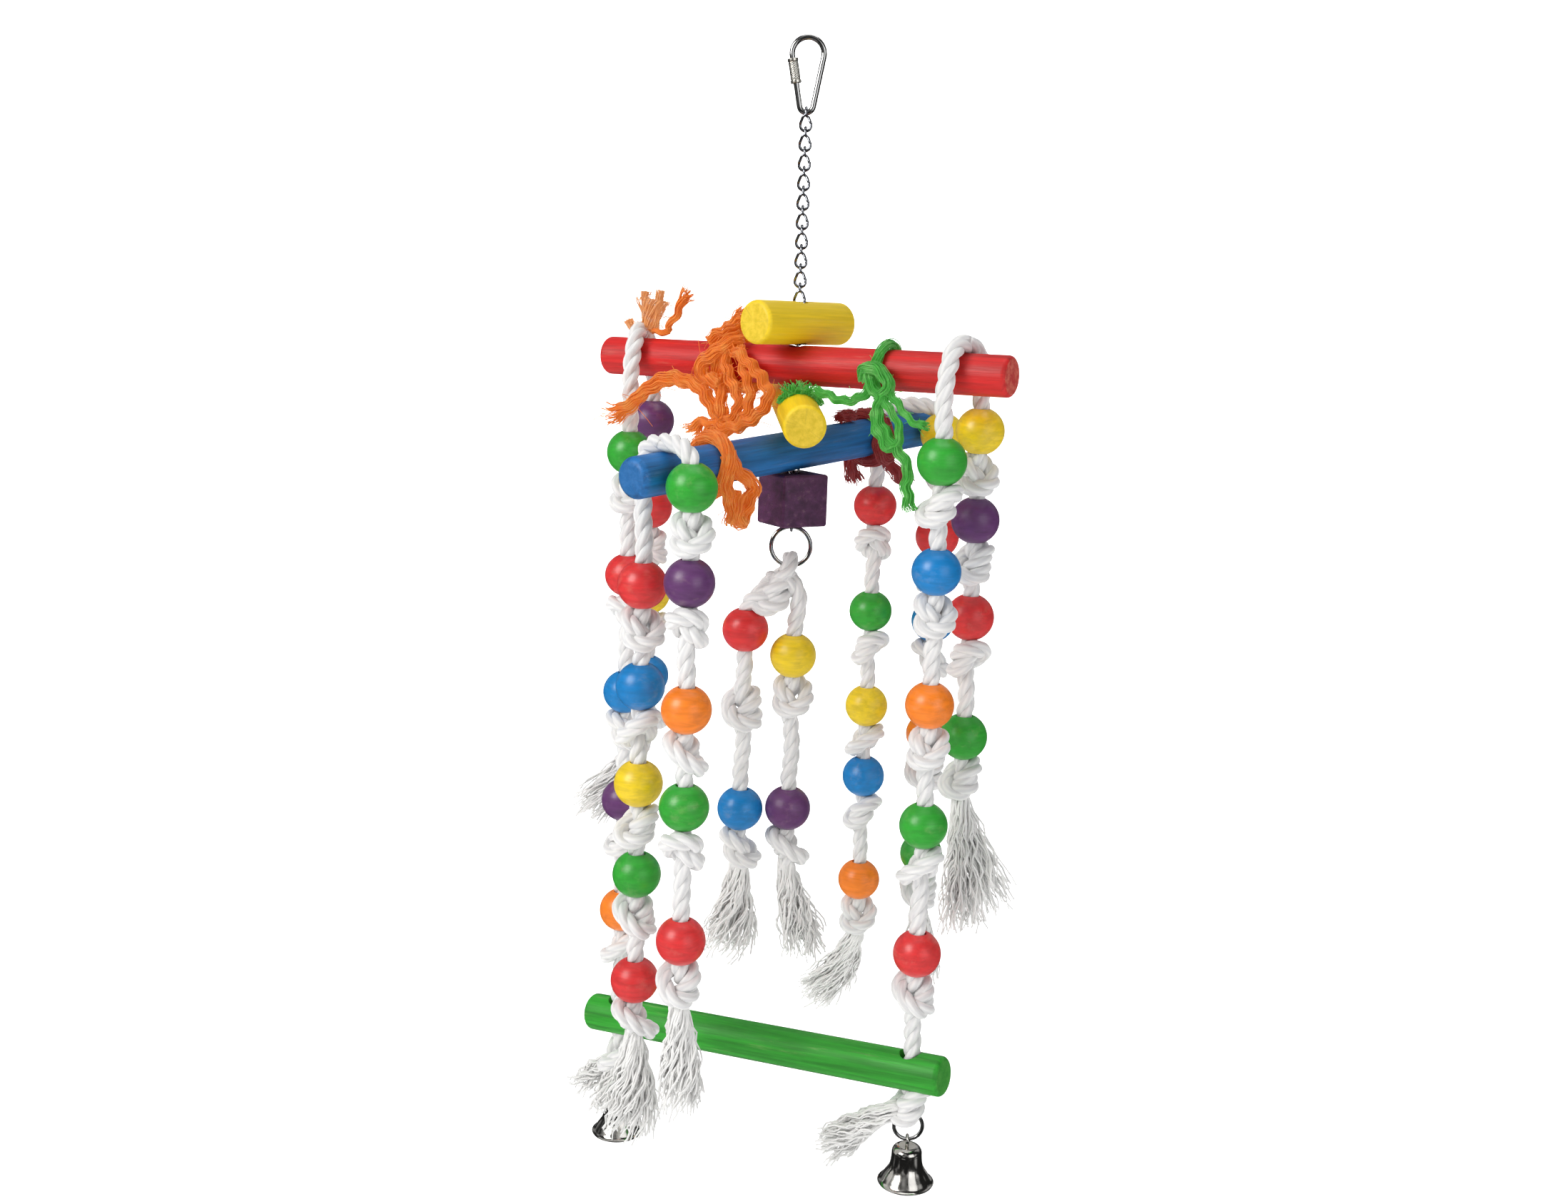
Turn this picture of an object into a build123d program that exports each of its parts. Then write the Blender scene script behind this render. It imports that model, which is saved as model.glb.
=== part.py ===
from build123d import *
import os
from math import atan2, cos, degrees, radians, sin, sqrt

# A hanging rope ladder for climbing birds.  All sizes are in millimetres.
# Origin: inside the crown of the quick link, where the hook that carries it sits.
# +Z is up, +X runs along the long red dowel, and the chain hangs down the Z axis.

# ---------------------------------------------------------------- driving sizes
FACE_ANGLE = 30.0          # turn of the flat hardware (link, rings) about Z, from +X
CLEARANCE = 0.2            # gap between pieces that rest on each other

LINK_WIRE = 3.5            # quick link
LINK_LENGTH = 48.0
LINK_CROWN_R = 11.5        # outer radius at the wide top end
LINK_FOOT_R = 6.0          # outer radius at the narrow bottom end
SLEEVE_LENGTH = 14.5
SLEEVE_R = 3.0
SLEEVE_COLLAR_R = 3.3
SLEEVE_START = 1.5         # sleeve end, measured down the limb from the crown arc
LIMB_GAP = (4.0, 7.5)      # the opening in the limb that the sleeve closes
RUNNING_GAP = 0.05

CHAIN_WIRE = 1.8
CHAIN_WIDTH = 8.4
CHAIN_PITCH = 11.8
CHAIN_SLACK = 0.3          # extra inner length of each link
LINKS_PER_GROUP = 2
CHAIN_GROUPS = 5
CORE_LINKS = 12            # links inside the stack of dowels
CHAIN_BORE, CROSS_BORE = 11.0, 13.0

YELLOW_D, TOP_LENGTH, CROSS_LENGTH = 27.0, 80.0, 112.0
DOWEL_D, DOWEL_LENGTH = 25.0, 292.0
DOWEL_ROUNDING, BLUE_ROUNDING = 3.0, 5.0
TOP_TURN = 77.0            # direction of each dowel about Z, from +X
CROSS_TURN, CROSS_TILT = 126.0, 8.5
CROSS_GAP = 0.8            # room above and under the tilted short dowel
TUFT_ALONG = -24.0         # the green tuft, along the tilted short dowel
BLUE_TURN, BLUE_TILT = 80.3, 4.0
BLOCK_SIDE, BLOCK_TURN = 33.0, 61.0
BLOCK_GAP = 2.0            # room under the tilted blue dowel

RING_D, RING_WIRE = 28.0, 2.7
BELL_RING_D, BELL_RING_WIRE = 20.5, 2.4

ROPE_R = 5.5
NECK_R = 4.9               # rope squeezed inside a bead
END_GAP = 0.4              # between a rope's cut end and the rounded end hinged under it
BEAD_D, BEAD_BORE = 30.0, 10.2
KNOT_R, KNOT_HEIGHT = 13.0, 23.6
TASSEL_TOP_R = 6.0

PERCH_D, PERCH_LENGTH = 25.0, 273.0
PERCH_HOLE = 14.0
LADDER_HALF = 113.0        # half the distance between the two ladder ropes
LADDER_Y = -21.0           # the ladder ropes hang in front of the red dowel
LADDER_PIVOT_DROP = 14.0   # from the red dowel's axis to where the ropes swing
PERCH_DROP_LEFT = 457.5    # from the red dowel's axis to each perch hole
PERCH_DROP_RIGHT = 436.5

# Bead centres, measured down from the axis of the dowel that carries the rope.
LEFT_BEADS = (62, 144, 224, 300, 379)
RIGHT_BEADS = (51, 117, 199, 275, 358)
LEFT_SWAY_DROP = 116.5     # the lower ladder ropes sway from here
RIGHT_SWAY_DROP = 95.5
# name: dowel, along the dowel, out from its axis, bead drops, tassel length, tassel radius
TAILS = {
    "rear_left": ("red", -128, 26, (44, 104, 164, 223), 58, 13),
    "rear_right": ("red", 116, 26, (35, 90, 151, 228), 92, 16),
    "near_left": ("blue", -116, -18.5, (69, 131, 192, 250, 319), 64, 17),
    "near_right": ("blue", -125, 28.4, (5, 60, 135, 194, 277), 66, 12),
    "far_left": ("blue", 114, -18.5, (53, 128, 197, 249, 327), 60, 15),
    "far_right": ("blue", 124, 28.4, (1, 71, 130, 211, 299), 56, 13),
}
CENTRE_LEFT = (-27.5, (55.5, 176.0))    # along the ring's plane, bead drops below the ring's centre
CENTRE_RIGHT = (4.0, (71.5, 174.5))
CENTRE_TASSEL = (62, 13)
CENTRE_KNOT_SHIFT = -10.0
CENTRE_KNOT_DROP = 14.5    # from the ring's lowest wire to the knot
ARM_R = 4.2                # the short length between the knot and the left-hand tail
ARCH_GAP = 1.4             # extra room under the slanting end of the right-hand rope

BELL_HEIGHT, BELL_RIM_R = 24.0, 18.0
BELL_WALL = 0.9
BELL_LOOP_R, BELL_LOOP_WIRE_R = 3.2, 0.9
END_KNOT_DEPTH = 11.0      # knot under the perch
EYE_R, EYE_ROPE_R = 5.2, 2.4
LEFT_END_EXTRA = 11.0      # the left rope end hangs this much lower

# ---------------------------------------------------------------- worked-out places
FACE = Vector(cos(radians(FACE_ANGLE)), sin(radians(FACE_ANGLE)), 0)
DEPTH = Vector(-FACE.Y, FACE.X, 0)
UP = Vector(0, 0, 1)

LINK_MID_CROWN = LINK_CROWN_R - LINK_WIRE / 2
LINK_MID_FOOT = LINK_FOOT_R - LINK_WIRE / 2
CROWN_Z = LINK_WIRE - LINK_CROWN_R
FOOT_Z = LINK_WIRE - LINK_LENGTH + LINK_FOOT_R
LIMB_SIN = (LINK_MID_CROWN - LINK_MID_FOOT) / (CROWN_Z - FOOT_Z)
LIMB_COS = sqrt(1 - LIMB_SIN ** 2)
LIMB_LENGTH = (CROWN_Z - FOOT_Z) * LIMB_COS

CHAIN_TOP = LINK_WIRE - LINK_LENGTH + LINK_WIRE + CHAIN_SLACK / 2
LINK_COUNT = LINKS_PER_GROUP * CHAIN_GROUPS + CORE_LINKS
CORE_BOTTOM = CHAIN_TOP - CHAIN_PITCH * LINK_COUNT - CHAIN_SLACK
RING_R = (RING_D - RING_WIRE) / 2
RING_Z = CORE_BOTTOM + CHAIN_SLACK / 2 + RING_WIRE / 2 - RING_R
BLOCK_Z = RING_Z + RING_D / 2 + CLEARANCE + BLOCK_SIDE / 2
BLUE_Z = BLOCK_Z + BLOCK_SIDE / 2 + BLOCK_GAP + DOWEL_D / 2
CROSS_Z = BLUE_Z + DOWEL_D / 2 + CROSS_GAP + YELLOW_D / 2
RED_Z = CROSS_Z + YELLOW_D / 2 + CROSS_GAP + DOWEL_D / 2
TOP_Z = RED_Z + DOWEL_D / 2 + CLEARANCE + YELLOW_D / 2

LADDER_PIVOT_Z = RED_Z - LADDER_PIVOT_DROP
PERCH_LEFT_Z = RED_Z - PERCH_DROP_LEFT
PERCH_RIGHT_Z = RED_Z - PERCH_DROP_RIGHT


def direction(turn, tilt=0.0):
    """The way a dowel points: turned about Z, its far end raised by tilt."""
    flat = cos(radians(tilt))
    return Vector(cos(radians(turn)) * flat, sin(radians(turn)) * flat, sin(radians(tilt)))


DOWEL_AXES = {
    "red": (Vector(0, 0, RED_Z), direction(0)),
    "blue": (Vector(0, 0, BLUE_Z), direction(BLUE_TURN, BLUE_TILT)),
}


def beside(dowel, along, out, rise=0.0):
    """A point beside a long dowel: along its axis, out to one side and up."""
    centre, axis = DOWEL_AXES[dowel]
    side = Vector(axis.Y, -axis.X, 0).normalized()
    if dowel == "red":
        side = side * -1
    return centre + axis * along + side * out + UP * rise


def save(piece, name):
    piece.label = name
    export_step(piece, f"parts/{name}.step")


# ---------------------------------------------------------------- shared shapes
def bar_along(path, radius):
    """A round bar swept along a line."""
    with BuildPart() as bar:
        with BuildSketch(Plane(origin=path @ 0, z_dir=path % 0)):
            Circle(radius)
        sweep(path=path)
    return bar.part


def tube(points, radius):
    """A round bar swept along a smooth line through the points."""
    with BuildLine() as line:
        Spline(*points)
    return bar_along(line.line, radius)


def ring(centre, plane_x, mean_r, wire_r):
    """A closed wire ring, standing upright with its plane along plane_x."""
    with BuildPart(Plane(origin=centre, x_dir=plane_x, z_dir=plane_x.cross(UP))) as hoop:
        Torus(mean_r, wire_r)
    return hoop.part


def bored_dowel(centre, axis, diameter, length, bores, bore_d, rounding=DOWEL_ROUNDING):
    """A round dowel with rounded ends, drilled across at each place in bores."""
    across = Vector(axis.Y, -axis.X, 0).normalized()
    with BuildPart() as dowel:
        with BuildSketch(Plane(origin=centre, x_dir=across, z_dir=axis)):
            Circle(diameter / 2)
        extrude(amount=length / 2, both=True)
        fillet(dowel.edges().filter_by(GeomType.CIRCLE), rounding)
        for along in bores:
            with Locations(Plane(origin=centre + axis * along, x_dir=axis, z_dir=axis.cross(across))):
                Hole(bore_d / 2)
    return dowel.part


def bead(centre):
    """One round wooden bead with an upright bore."""
    with BuildPart(Plane(origin=centre)) as ball:
        Sphere(BEAD_D / 2)
        Cylinder(BEAD_BORE / 2, BEAD_D + 2, mode=Mode.SUBTRACT)
    return ball.part


def beads(top, drops):
    """The beads of one rope, as separate solids."""
    with BuildPart() as group:
        for drop in drops:
            add(bead(top - UP * drop))
    return group.part


def cord(top, pivot, drops, end, tassel=None):
    """An upright rope: a rounded top, a neck and a knot at each bead, and a plain end or a tassel."""
    half_neck = BEAD_D / 2 + 1
    rooms = [after - before - BEAD_D - 4 for before, after in zip(drops, drops[1:])]
    rooms.append(end - drops[-1] - half_neck - 0.5)
    with BuildPart() as rope:
        with BuildSketch(Plane(origin=top, x_dir=(1, 0, 0), z_dir=(0, -1, 0))):
            with BuildLine():
                start = Line((0, -pivot + NECK_R), (0, -end))
                here = CenterArc((0, -pivot), NECK_R, 90, -90)
                if drops[0] - half_neck > pivot + 2:
                    here = Line(here @ 1, (ROPE_R, -pivot - 1))
                for drop, room in zip(drops, rooms):
                    if (here @ 1).Y > -drop + half_neck:
                        here = Line(here @ 1, (ROPE_R, -drop + half_neck))
                        here = Line(here @ 1, (NECK_R, -drop + half_neck - 1))
                    here = Line(here @ 1, (NECK_R, -drop - half_neck + 0.5))
                    half_knot = min(KNOT_HEIGHT, room) / 2
                    knot_r = sqrt(half_knot ** 2 + ROPE_R ** 2)
                    knot_z = -drop - half_neck - half_knot
                    here = Line(here @ 1, (ROPE_R, knot_z + half_knot))
                    slope = degrees(atan2(half_knot, ROPE_R))
                    here = CenterArc((0, knot_z), knot_r, slope, -2 * slope)
                if tassel:
                    here = Line(here @ 1, (TASSEL_TOP_R, (here @ 1).Y - 2))
                    here = Line(here @ 1, (tassel, -end + tassel / 2))
                    here = Line(here @ 1, (tassel * 0.8, -end))
                else:
                    here = Line(here @ 1, (ROPE_R, -end))
                Line(here @ 1, start @ 1)
            make_face()
        revolve(axis=Axis(top, (0, 0, 1)))
    return rope.part


# ---------------------------------------------------------------- hanging hardware
def link_point(across, height):
    """A point in the upright plane of the quick link."""
    return FACE * across + UP * height


def limb_point(side, distance):
    """A point on a straight limb of the quick link, measured down from the crown arc."""
    across = side * (LINK_MID_CROWN * LIMB_COS - LIMB_SIN * distance)
    return link_point(across, CROWN_Z - LINK_MID_CROWN * LIMB_SIN - LIMB_COS * distance)


def make_quick_link():
    """A pear-shaped wire loop, open where the sleeve closes it."""
    crown = link_point(0, CROWN_Z + LINK_MID_CROWN)
    foot = link_point(0, FOOT_Z - LINK_MID_FOOT)
    with BuildPart() as link:
        with BuildLine() as loop:
            Line(limb_point(-1, LIMB_GAP[1]), limb_point(-1, LIMB_LENGTH))
            ThreePointArc(limb_point(-1, LIMB_LENGTH), foot, limb_point(1, LIMB_LENGTH))
            Line(limb_point(1, LIMB_LENGTH), limb_point(1, 0))
            ThreePointArc(limb_point(1, 0), crown, limb_point(-1, 0))
            Line(limb_point(-1, 0), limb_point(-1, LIMB_GAP[0]))
        add(bar_along(loop.line, LINK_WIRE / 2))
    save(link.part, "quick_link")


def make_sleeve():
    """The screw sleeve that closes the quick link, with a collar at each end."""
    top = limb_point(-1, SLEEVE_START)
    down = (limb_point(-1, LIMB_LENGTH) - top).normalized()
    collar = 2.2
    with BuildPart() as sleeve:
        with BuildSketch(Plane(origin=top, z_dir=down)):
            Circle(SLEEVE_R)
        extrude(amount=SLEEVE_LENGTH)
        for start in (0, SLEEVE_LENGTH - collar):
            with BuildSketch(Plane(origin=top + down * start, z_dir=down)):
                Circle(SLEEVE_COLLAR_R)
            extrude(amount=collar)
        with Locations(Plane(origin=top, z_dir=down)):
            Hole(LINK_WIRE / 2 + RUNNING_GAP)
    save(sleeve.part, "link_sleeve")


def chain_link(twist):
    """One link, centred on the origin: an oval whose two ends stand twist degrees apart."""
    bow_r = (CHAIN_WIDTH - CHAIN_WIRE) / 2
    half_straight = (CHAIN_PITCH + CHAIN_SLACK + CHAIN_WIRE) / 2 - bow_r
    sides = []
    for side in (1, -1):
        heights = [half_straight * (1 - step / 2) for step in range(5)]
        turns = [FACE_ANGLE + 90 - twist * step / 4 for step in range(5)]
        sides.append([direction(turn) * side * bow_r + UP * height for turn, height in zip(turns, heights)])
    near, far = sides
    with BuildLine() as body:
        Spline(*near, tangents=(UP * -1, UP * -1))
        ThreePointArc(near[-1], UP * (-half_straight - bow_r), far[-1])
        Spline(*reversed(far), tangents=(UP, UP))
    with BuildLine() as bow:
        ThreePointArc(far[0], UP * (half_straight + bow_r), near[0])
    with BuildPart() as link:
        add(bar_along(body.line, CHAIN_WIRE / 2))
        add(bar_along(bow.line, CHAIN_WIRE / 2))
    return link.part


def link_places(first, last):
    """Where the centres of a run of chain links sit."""
    middle = CHAIN_TOP - (CHAIN_PITCH + CHAIN_SLACK) / 2
    return [(0, 0, middle - CHAIN_PITCH * number) for number in range(first, last)]


def make_chain():
    """Free links in hinged groups, then the links inside the stack; the last one is flat."""
    twisted = chain_link(90)
    for group in range(CHAIN_GROUPS):
        first = group * LINKS_PER_GROUP
        with BuildPart() as links:
            with Locations(*link_places(first, first + LINKS_PER_GROUP)):
                add(twisted)
        save(links.part, f"chain_{group + 1}")
    with BuildPart() as core:
        with Locations(*link_places(CHAIN_GROUPS * LINKS_PER_GROUP, LINK_COUNT - 1)):
            add(twisted)
        with Locations(*link_places(LINK_COUNT - 1, LINK_COUNT)):
            add(chain_link(0))
    save(core.part, "core_chain")


# ---------------------------------------------------------------- the wooden stack
def make_stack():
    """Two long dowels, two short ones and a block, all threaded on the chain."""
    top = bored_dowel(Vector(0, 0, TOP_Z), direction(TOP_TURN), YELLOW_D, TOP_LENGTH, (0,), CHAIN_BORE)
    save(top, "top_dowel")
    red = bored_dowel(*DOWEL_AXES["red"], DOWEL_D, DOWEL_LENGTH, (0,), CHAIN_BORE)
    save(red, "red_dowel")
    cross_axis = direction(CROSS_TURN, CROSS_TILT)
    cross = bored_dowel(Vector(0, 0, CROSS_Z), cross_axis, YELLOW_D, CROSS_LENGTH, (0,), CROSS_BORE)
    save(cross, "cross_dowel")
    blue = bored_dowel(*DOWEL_AXES["blue"], DOWEL_D, DOWEL_LENGTH, (0,), CHAIN_BORE, BLUE_ROUNDING)
    save(blue, "blue_dowel")
    with BuildPart(Plane(origin=(0, 0, BLOCK_Z), x_dir=direction(BLOCK_TURN))) as block:
        Box(BLOCK_SIDE, BLOCK_SIDE, BLOCK_SIDE)
        chamfer(block.edges(), 1.2)
        Cylinder(CHAIN_BORE / 2, BLOCK_SIDE + 2, mode=Mode.SUBTRACT)
    save(block.part, "purple_block")
    save(ring(Vector(0, 0, RING_Z), FACE, RING_R, RING_WIRE / 2), "block_ring")


# ---------------------------------------------------------------- ropes over the long dowels
def over_side(dowel, along, middle_along, out, pivot):
    """One side of a rope over a dowel, from the top down to just above its hinge."""
    toward = 1 if out > 0 else -1
    crown = beside(dowel, middle_along, 0, DOWEL_D / 2 + ROPE_R + 1.2)
    if pivot < 0:
        return [crown, beside(dowel, (along + middle_along) / 2, toward * 12, 20.5),
                beside(dowel, along, toward * 21.5, 18)]
    shoulder = beside(dowel, along * 0.7 + middle_along * 0.3, toward * 14.6, 13.8)
    level = beside(dowel, along, out, 1)
    return [crown, shoulder, level, beside(dowel, along, out, NECK_R + END_GAP - pivot)]


def make_rope_over(name, dowel, front, rear):
    """A short length of rope laid over a dowel; front and rear are (along, out, pivot)."""
    middle = (front[0] + rear[0]) / 2
    down_front = over_side(dowel, front[0], middle, *front[1:])
    down_rear = over_side(dowel, rear[0], middle, *rear[1:])
    save(tube([*reversed(down_front), *down_rear[1:]], ROPE_R), name)


def make_tails():
    """Six free tails: a knotted rope with a tassel, and its beads."""
    for name, (dowel, along, out, drops, tassel_length, tassel_r) in TAILS.items():
        top = beside(dowel, along, out)
        end = drops[-1] + BEAD_D / 2 + KNOT_HEIGHT + tassel_length
        save(cord(top, tail_pivot(drops), drops, end, tassel_r), f"{name}_rope")
        save(beads(top, drops), f"{name}_beads")


def tail_pivot(drops):
    """How far below the dowel's axis a tail hinges: 8 mm, or at the top of a bead that sits higher."""
    return min(8.0, drops[0] - BEAD_D / 2)


# ---------------------------------------------------------------- the ladder
def make_ladder_side(name, x, bead_drops, sway_drop, perch_drop):
    """One ladder rope: a short top length with one bead, and the swaying rest."""
    top = Vector(x, LADDER_Y, RED_Z)
    save(cord(top, LADDER_PIVOT_DROP, bead_drops[:1], sway_drop - NECK_R - END_GAP), f"{name}_top_rope")
    save(beads(top, bead_drops[:1]), f"{name}_top_bead")
    rope_bottom = perch_drop - PERCH_D / 2 - 1.6
    save(cord(top, sway_drop, bead_drops[1:], rope_bottom), f"{name}_rope")
    save(beads(top, bead_drops[1:]), f"{name}_beads")


def make_perch():
    """The lower dowel, drilled near each end for the ladder ropes."""
    rise = PERCH_DROP_LEFT - PERCH_DROP_RIGHT
    span = sqrt((2 * LADDER_HALF) ** 2 + rise ** 2)
    axis = Vector(2 * LADDER_HALF, 0, rise).normalized()
    centre = Vector(0, LADDER_Y, (PERCH_LEFT_Z + PERCH_RIGHT_Z) / 2)
    holes = (-span / 2, span / 2)
    save(bored_dowel(centre, axis, PERCH_D, PERCH_LENGTH, holes, PERCH_HOLE), "perch")


def make_perch_end(side, hole, extra, tassel_way, tassel_length):
    """A rope end through the perch: its knot, a small eye, a frayed tail, a ring and a bell."""
    under = hole - UP * (PERCH_D / 2 + 1.0)
    knot_bottom = -(END_KNOT_DEPTH + extra)
    with BuildPart() as end:
        with BuildSketch(Plane(origin=under, x_dir=(1, 0, 0), z_dir=(0, -1, 0))):
            with BuildLine():
                axis_line = Line((0, PERCH_D - 1.5), (0, knot_bottom))
                Line(axis_line @ 0, (ROPE_R, PERCH_D - 1.5))
                Line((ROPE_R, PERCH_D - 1.5), (ROPE_R, 0))
                ThreePointArc((ROPE_R, 0), (KNOT_R - 1, knot_bottom / 2), (EYE_ROPE_R, knot_bottom))
                Line((EYE_ROPE_R, knot_bottom), axis_line @ 1)
            make_face()
        revolve(axis=Axis(under, (0, 0, 1)))
        eye_centre = under + UP * (knot_bottom - EYE_ROPE_R)
        add(ring(eye_centre, DEPTH, EYE_R, EYE_ROPE_R))
        start = under + UP * (knot_bottom / 2) + Vector(tassel_way.X, tassel_way.Y, 0) * 5
        with BuildSketch(Plane(origin=start, z_dir=tassel_way)):
            Circle(4)
        with BuildSketch(Plane(origin=start + tassel_way * tassel_length, z_dir=tassel_way)):
            Circle(11)
        loft()
    save(end.part, f"perch_knot_{side}")

    ring_mid = (BELL_RING_D - BELL_RING_WIRE) / 2
    hook = eye_centre - UP * (EYE_R - EYE_ROPE_R - BELL_RING_WIRE / 2 - CLEARANCE)
    ring_centre = hook - UP * ring_mid
    save(ring(ring_centre, FACE, ring_mid, BELL_RING_WIRE / 2), f"bell_ring_{side}")
    foot = ring_centre - UP * ring_mid
    loop_centre = foot - UP * (BELL_LOOP_R - BELL_LOOP_WIRE_R - BELL_RING_WIRE / 2 - CLEARANCE)
    make_bell(side, loop_centre)


def make_bell(side, loop_centre):
    """A flared bell with a wire loop on its crown, and the clapper inside it."""
    crown = loop_centre - UP * (BELL_LOOP_R + 0.3)
    with BuildPart() as bell:
        with BuildSketch(Plane(origin=crown, x_dir=(1, 0, 0), z_dir=(0, -1, 0))):
            with BuildLine():
                top = Line((0, 0), (5.5, 0))
                shoulder = ThreePointArc((5.5, 0), (8.6, -1.6), (9.6, -5))
                waist = Spline((9.6, -5), (11.4, -15), (15.2, -21), (BELL_RIM_R, -BELL_HEIGHT),
                               tangents=((0.05, -1), (1, -0.35)))
                rim = Line(waist @ 1, (BELL_RIM_R - 0.5, -BELL_HEIGHT - BELL_WALL))
                inside = Spline(rim @ 1, (14.4, -21.6), (10.5, -15.2), (9.6 - BELL_WALL, -5.4),
                                tangents=((-1, 0.3), (-0.05, 1)))
                Line(inside @ 1, (5.2, -BELL_WALL * 1.3))
                Line((5.2, -BELL_WALL * 1.3), (0, -BELL_WALL * 1.3))
                Line((0, -BELL_WALL * 1.3), top @ 0)
            make_face()
        revolve(axis=Axis(crown, (0, 0, 1)))
        add(ring(loop_centre, DEPTH, BELL_LOOP_R, BELL_LOOP_WIRE_R))
    save(bell.part, f"bell_{side}")
    hang = crown - UP * (BELL_WALL * 1.3 + 1.4)
    with BuildPart() as clapper:
        with BuildSketch(Plane(origin=hang, x_dir=(1, 0, 0), z_dir=(0, -1, 0))):
            with BuildLine():
                CenterArc((0, 0), 1.1, 0, 90)
                Line((1.1, 0), (0.8, -2))
                Line((0.8, -2), (0.8, -17 + sqrt(3.4 ** 2 - 0.8 ** 2)))
                ThreePointArc((0.8, -17 + sqrt(3.4 ** 2 - 0.8 ** 2)), (3.4, -17), (0, -20.4))
                Line((0, -20.4), (0, 1.1))
            make_face()
        revolve(axis=Axis(hang, (0, 0, 1)))
    save(clapper.part, f"clapper_{side}")


# ---------------------------------------------------------------- the rope under the block
def make_centre():
    """A rope looped through the ring, knotted, with two beaded tails."""
    ring_bottom = Vector(0, 0, RING_Z - RING_R)
    loop_rope = ROPE_R - 0.6
    loop_r = loop_rope + RING_WIRE / 2 + 0.75
    loop_centre = ring_bottom - UP * (loop_r - loop_rope - RING_WIRE / 2 - CLEARANCE)
    knot = ring_bottom + FACE * CENTRE_KNOT_SHIFT - UP * CENTRE_KNOT_DROP
    arch_x, arch_drops = CENTRE_RIGHT
    arch_end = FACE * arch_x + UP * (RING_Z - centre_pivot(arch_drops) + NECK_R + END_GAP + ARCH_GAP)
    arch = [knot + FACE * 3, knot + FACE * 13 - UP * 2, arch_end + FACE * 1.5 + UP * 8, arch_end]
    left_x, left_drops = CENTRE_LEFT
    arm_end = FACE * left_x + UP * (RING_Z - centre_pivot(left_drops) + NECK_R + END_GAP + ARCH_GAP)
    arm = [knot - FACE * 3 - UP * 2, knot - FACE * 11 - UP * 3, arm_end + FACE * 0.8 + UP * 4, arm_end]
    with BuildPart() as centre:
        with Locations(Plane(origin=knot)):
            Sphere(KNOT_R - 0.5)
        add(ring(loop_centre, DEPTH, loop_r, loop_rope))
        add(tube(arch, loop_rope))
        add(tube(arm, ARM_R))
    save(centre.part, "centre_knot")
    for name, (out, drops) in {"centre_left": CENTRE_LEFT, "centre_right": CENTRE_RIGHT}.items():
        top = FACE * out + UP * RING_Z
        end = drops[-1] + BEAD_D / 2 + KNOT_HEIGHT + CENTRE_TASSEL[0]
        save(cord(top, centre_pivot(drops), drops, end, CENTRE_TASSEL[1]), f"{name}_rope")
        save(beads(top, drops), f"{name}_beads")


def centre_pivot(drops):
    """The centre tails hinge right on top of their first beads."""
    return drops[0] - BEAD_D / 2


# ---------------------------------------------------------------- ties of dyed sisal and cotton
def collar(dowel, along, width, thickness):
    """Turns of fibre wrapped round a long dowel, as one sleeve."""
    centre, axis = DOWEL_AXES[dowel]
    with BuildPart() as wrap:
        with BuildSketch(Plane(origin=centre + axis * along, z_dir=axis)):
            Circle(DOWEL_D / 2 + CLEARANCE + thickness)
            Circle(DOWEL_D / 2 + CLEARANCE, mode=Mode.SUBTRACT)
        extrude(amount=width / 2, both=True)
    return wrap.part


def tie(name, dowel, along, width, thickness, strands):
    """A wrapped collar with loose strands; each strand is a list of places beside the dowel."""
    with BuildPart() as bundle:
        add(collar(dowel, along, width, thickness))
        for radius, places in strands:
            add(tube([beside(dowel, *place) for place in places], radius))
    save(bundle.part, name)


def make_ties():
    tie("orange_tie", "red", -46, 22, 4, (
        (4.0, ((-44, -16.8, -4), (-40, -20, -22), (-47, -21, -36), (-42, -19, -46))),
        (4.0, ((-50, -16.8, -4), (-60, -20, -14), (-78, -23, -18), (-94, -25, -32))),
    ))
    tie("green_tie", "red", 62, 14, 4, (
        (3.5, ((62, -15, -4), (66, -20, -18), (74, -21, -50), (84, -21, -84))),
    ))
    tie("orange_tie_blue", "blue", -78, 14, 4, (
        (4.0, ((-76, 14, -6), (-66, 20, -16), (-58, 20, -30), (-66, 19, -42))),
        (4.0, ((-80, -14, -6), (-84, -19, -20), (-88, -20, -34))),
    ))
    tie("dark_red_tie", "blue", 84, 16, 4.5, (
        (5.0, ((84, -14, -6), (86, -19, -18), (90, -19, -34))),
    ))
    with BuildPart() as upright:
        add(tube([beside("red", -106, 6, 18), beside("red", -108, 8, 28), beside("red", -106, 7, 47)], 5))
        add(tube([beside("red", -92, 4, 17), beside("red", -87, 5, 28), beside("red", -84, 4, 46)], 3))
        add(tube([beside("red", -106, 6, 18), beside("red", -99, 5, 17.6), beside("red", -92, 4, 17)], 3))
    save(upright.part, "upright_ends")
    cross_axis = direction(CROSS_TURN, CROSS_TILT)
    tuft_centre = Vector(0, 0, CROSS_Z) + cross_axis * TUFT_ALONG
    with BuildPart() as tuft:
        with BuildSketch(Plane(origin=tuft_centre, z_dir=cross_axis)):
            Circle(YELLOW_D / 2 + CLEARANCE + 1.6)
            Circle(YELLOW_D / 2 + CLEARANCE, mode=Mode.SUBTRACT)
        extrude(amount=4, both=True)
        with Locations(tuft_centre - UP * YELLOW_D):
            Box(2 * YELLOW_D, 2 * YELLOW_D, 2 * YELLOW_D, mode=Mode.SUBTRACT)
    save(tuft.part, "green_tuft")


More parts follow.
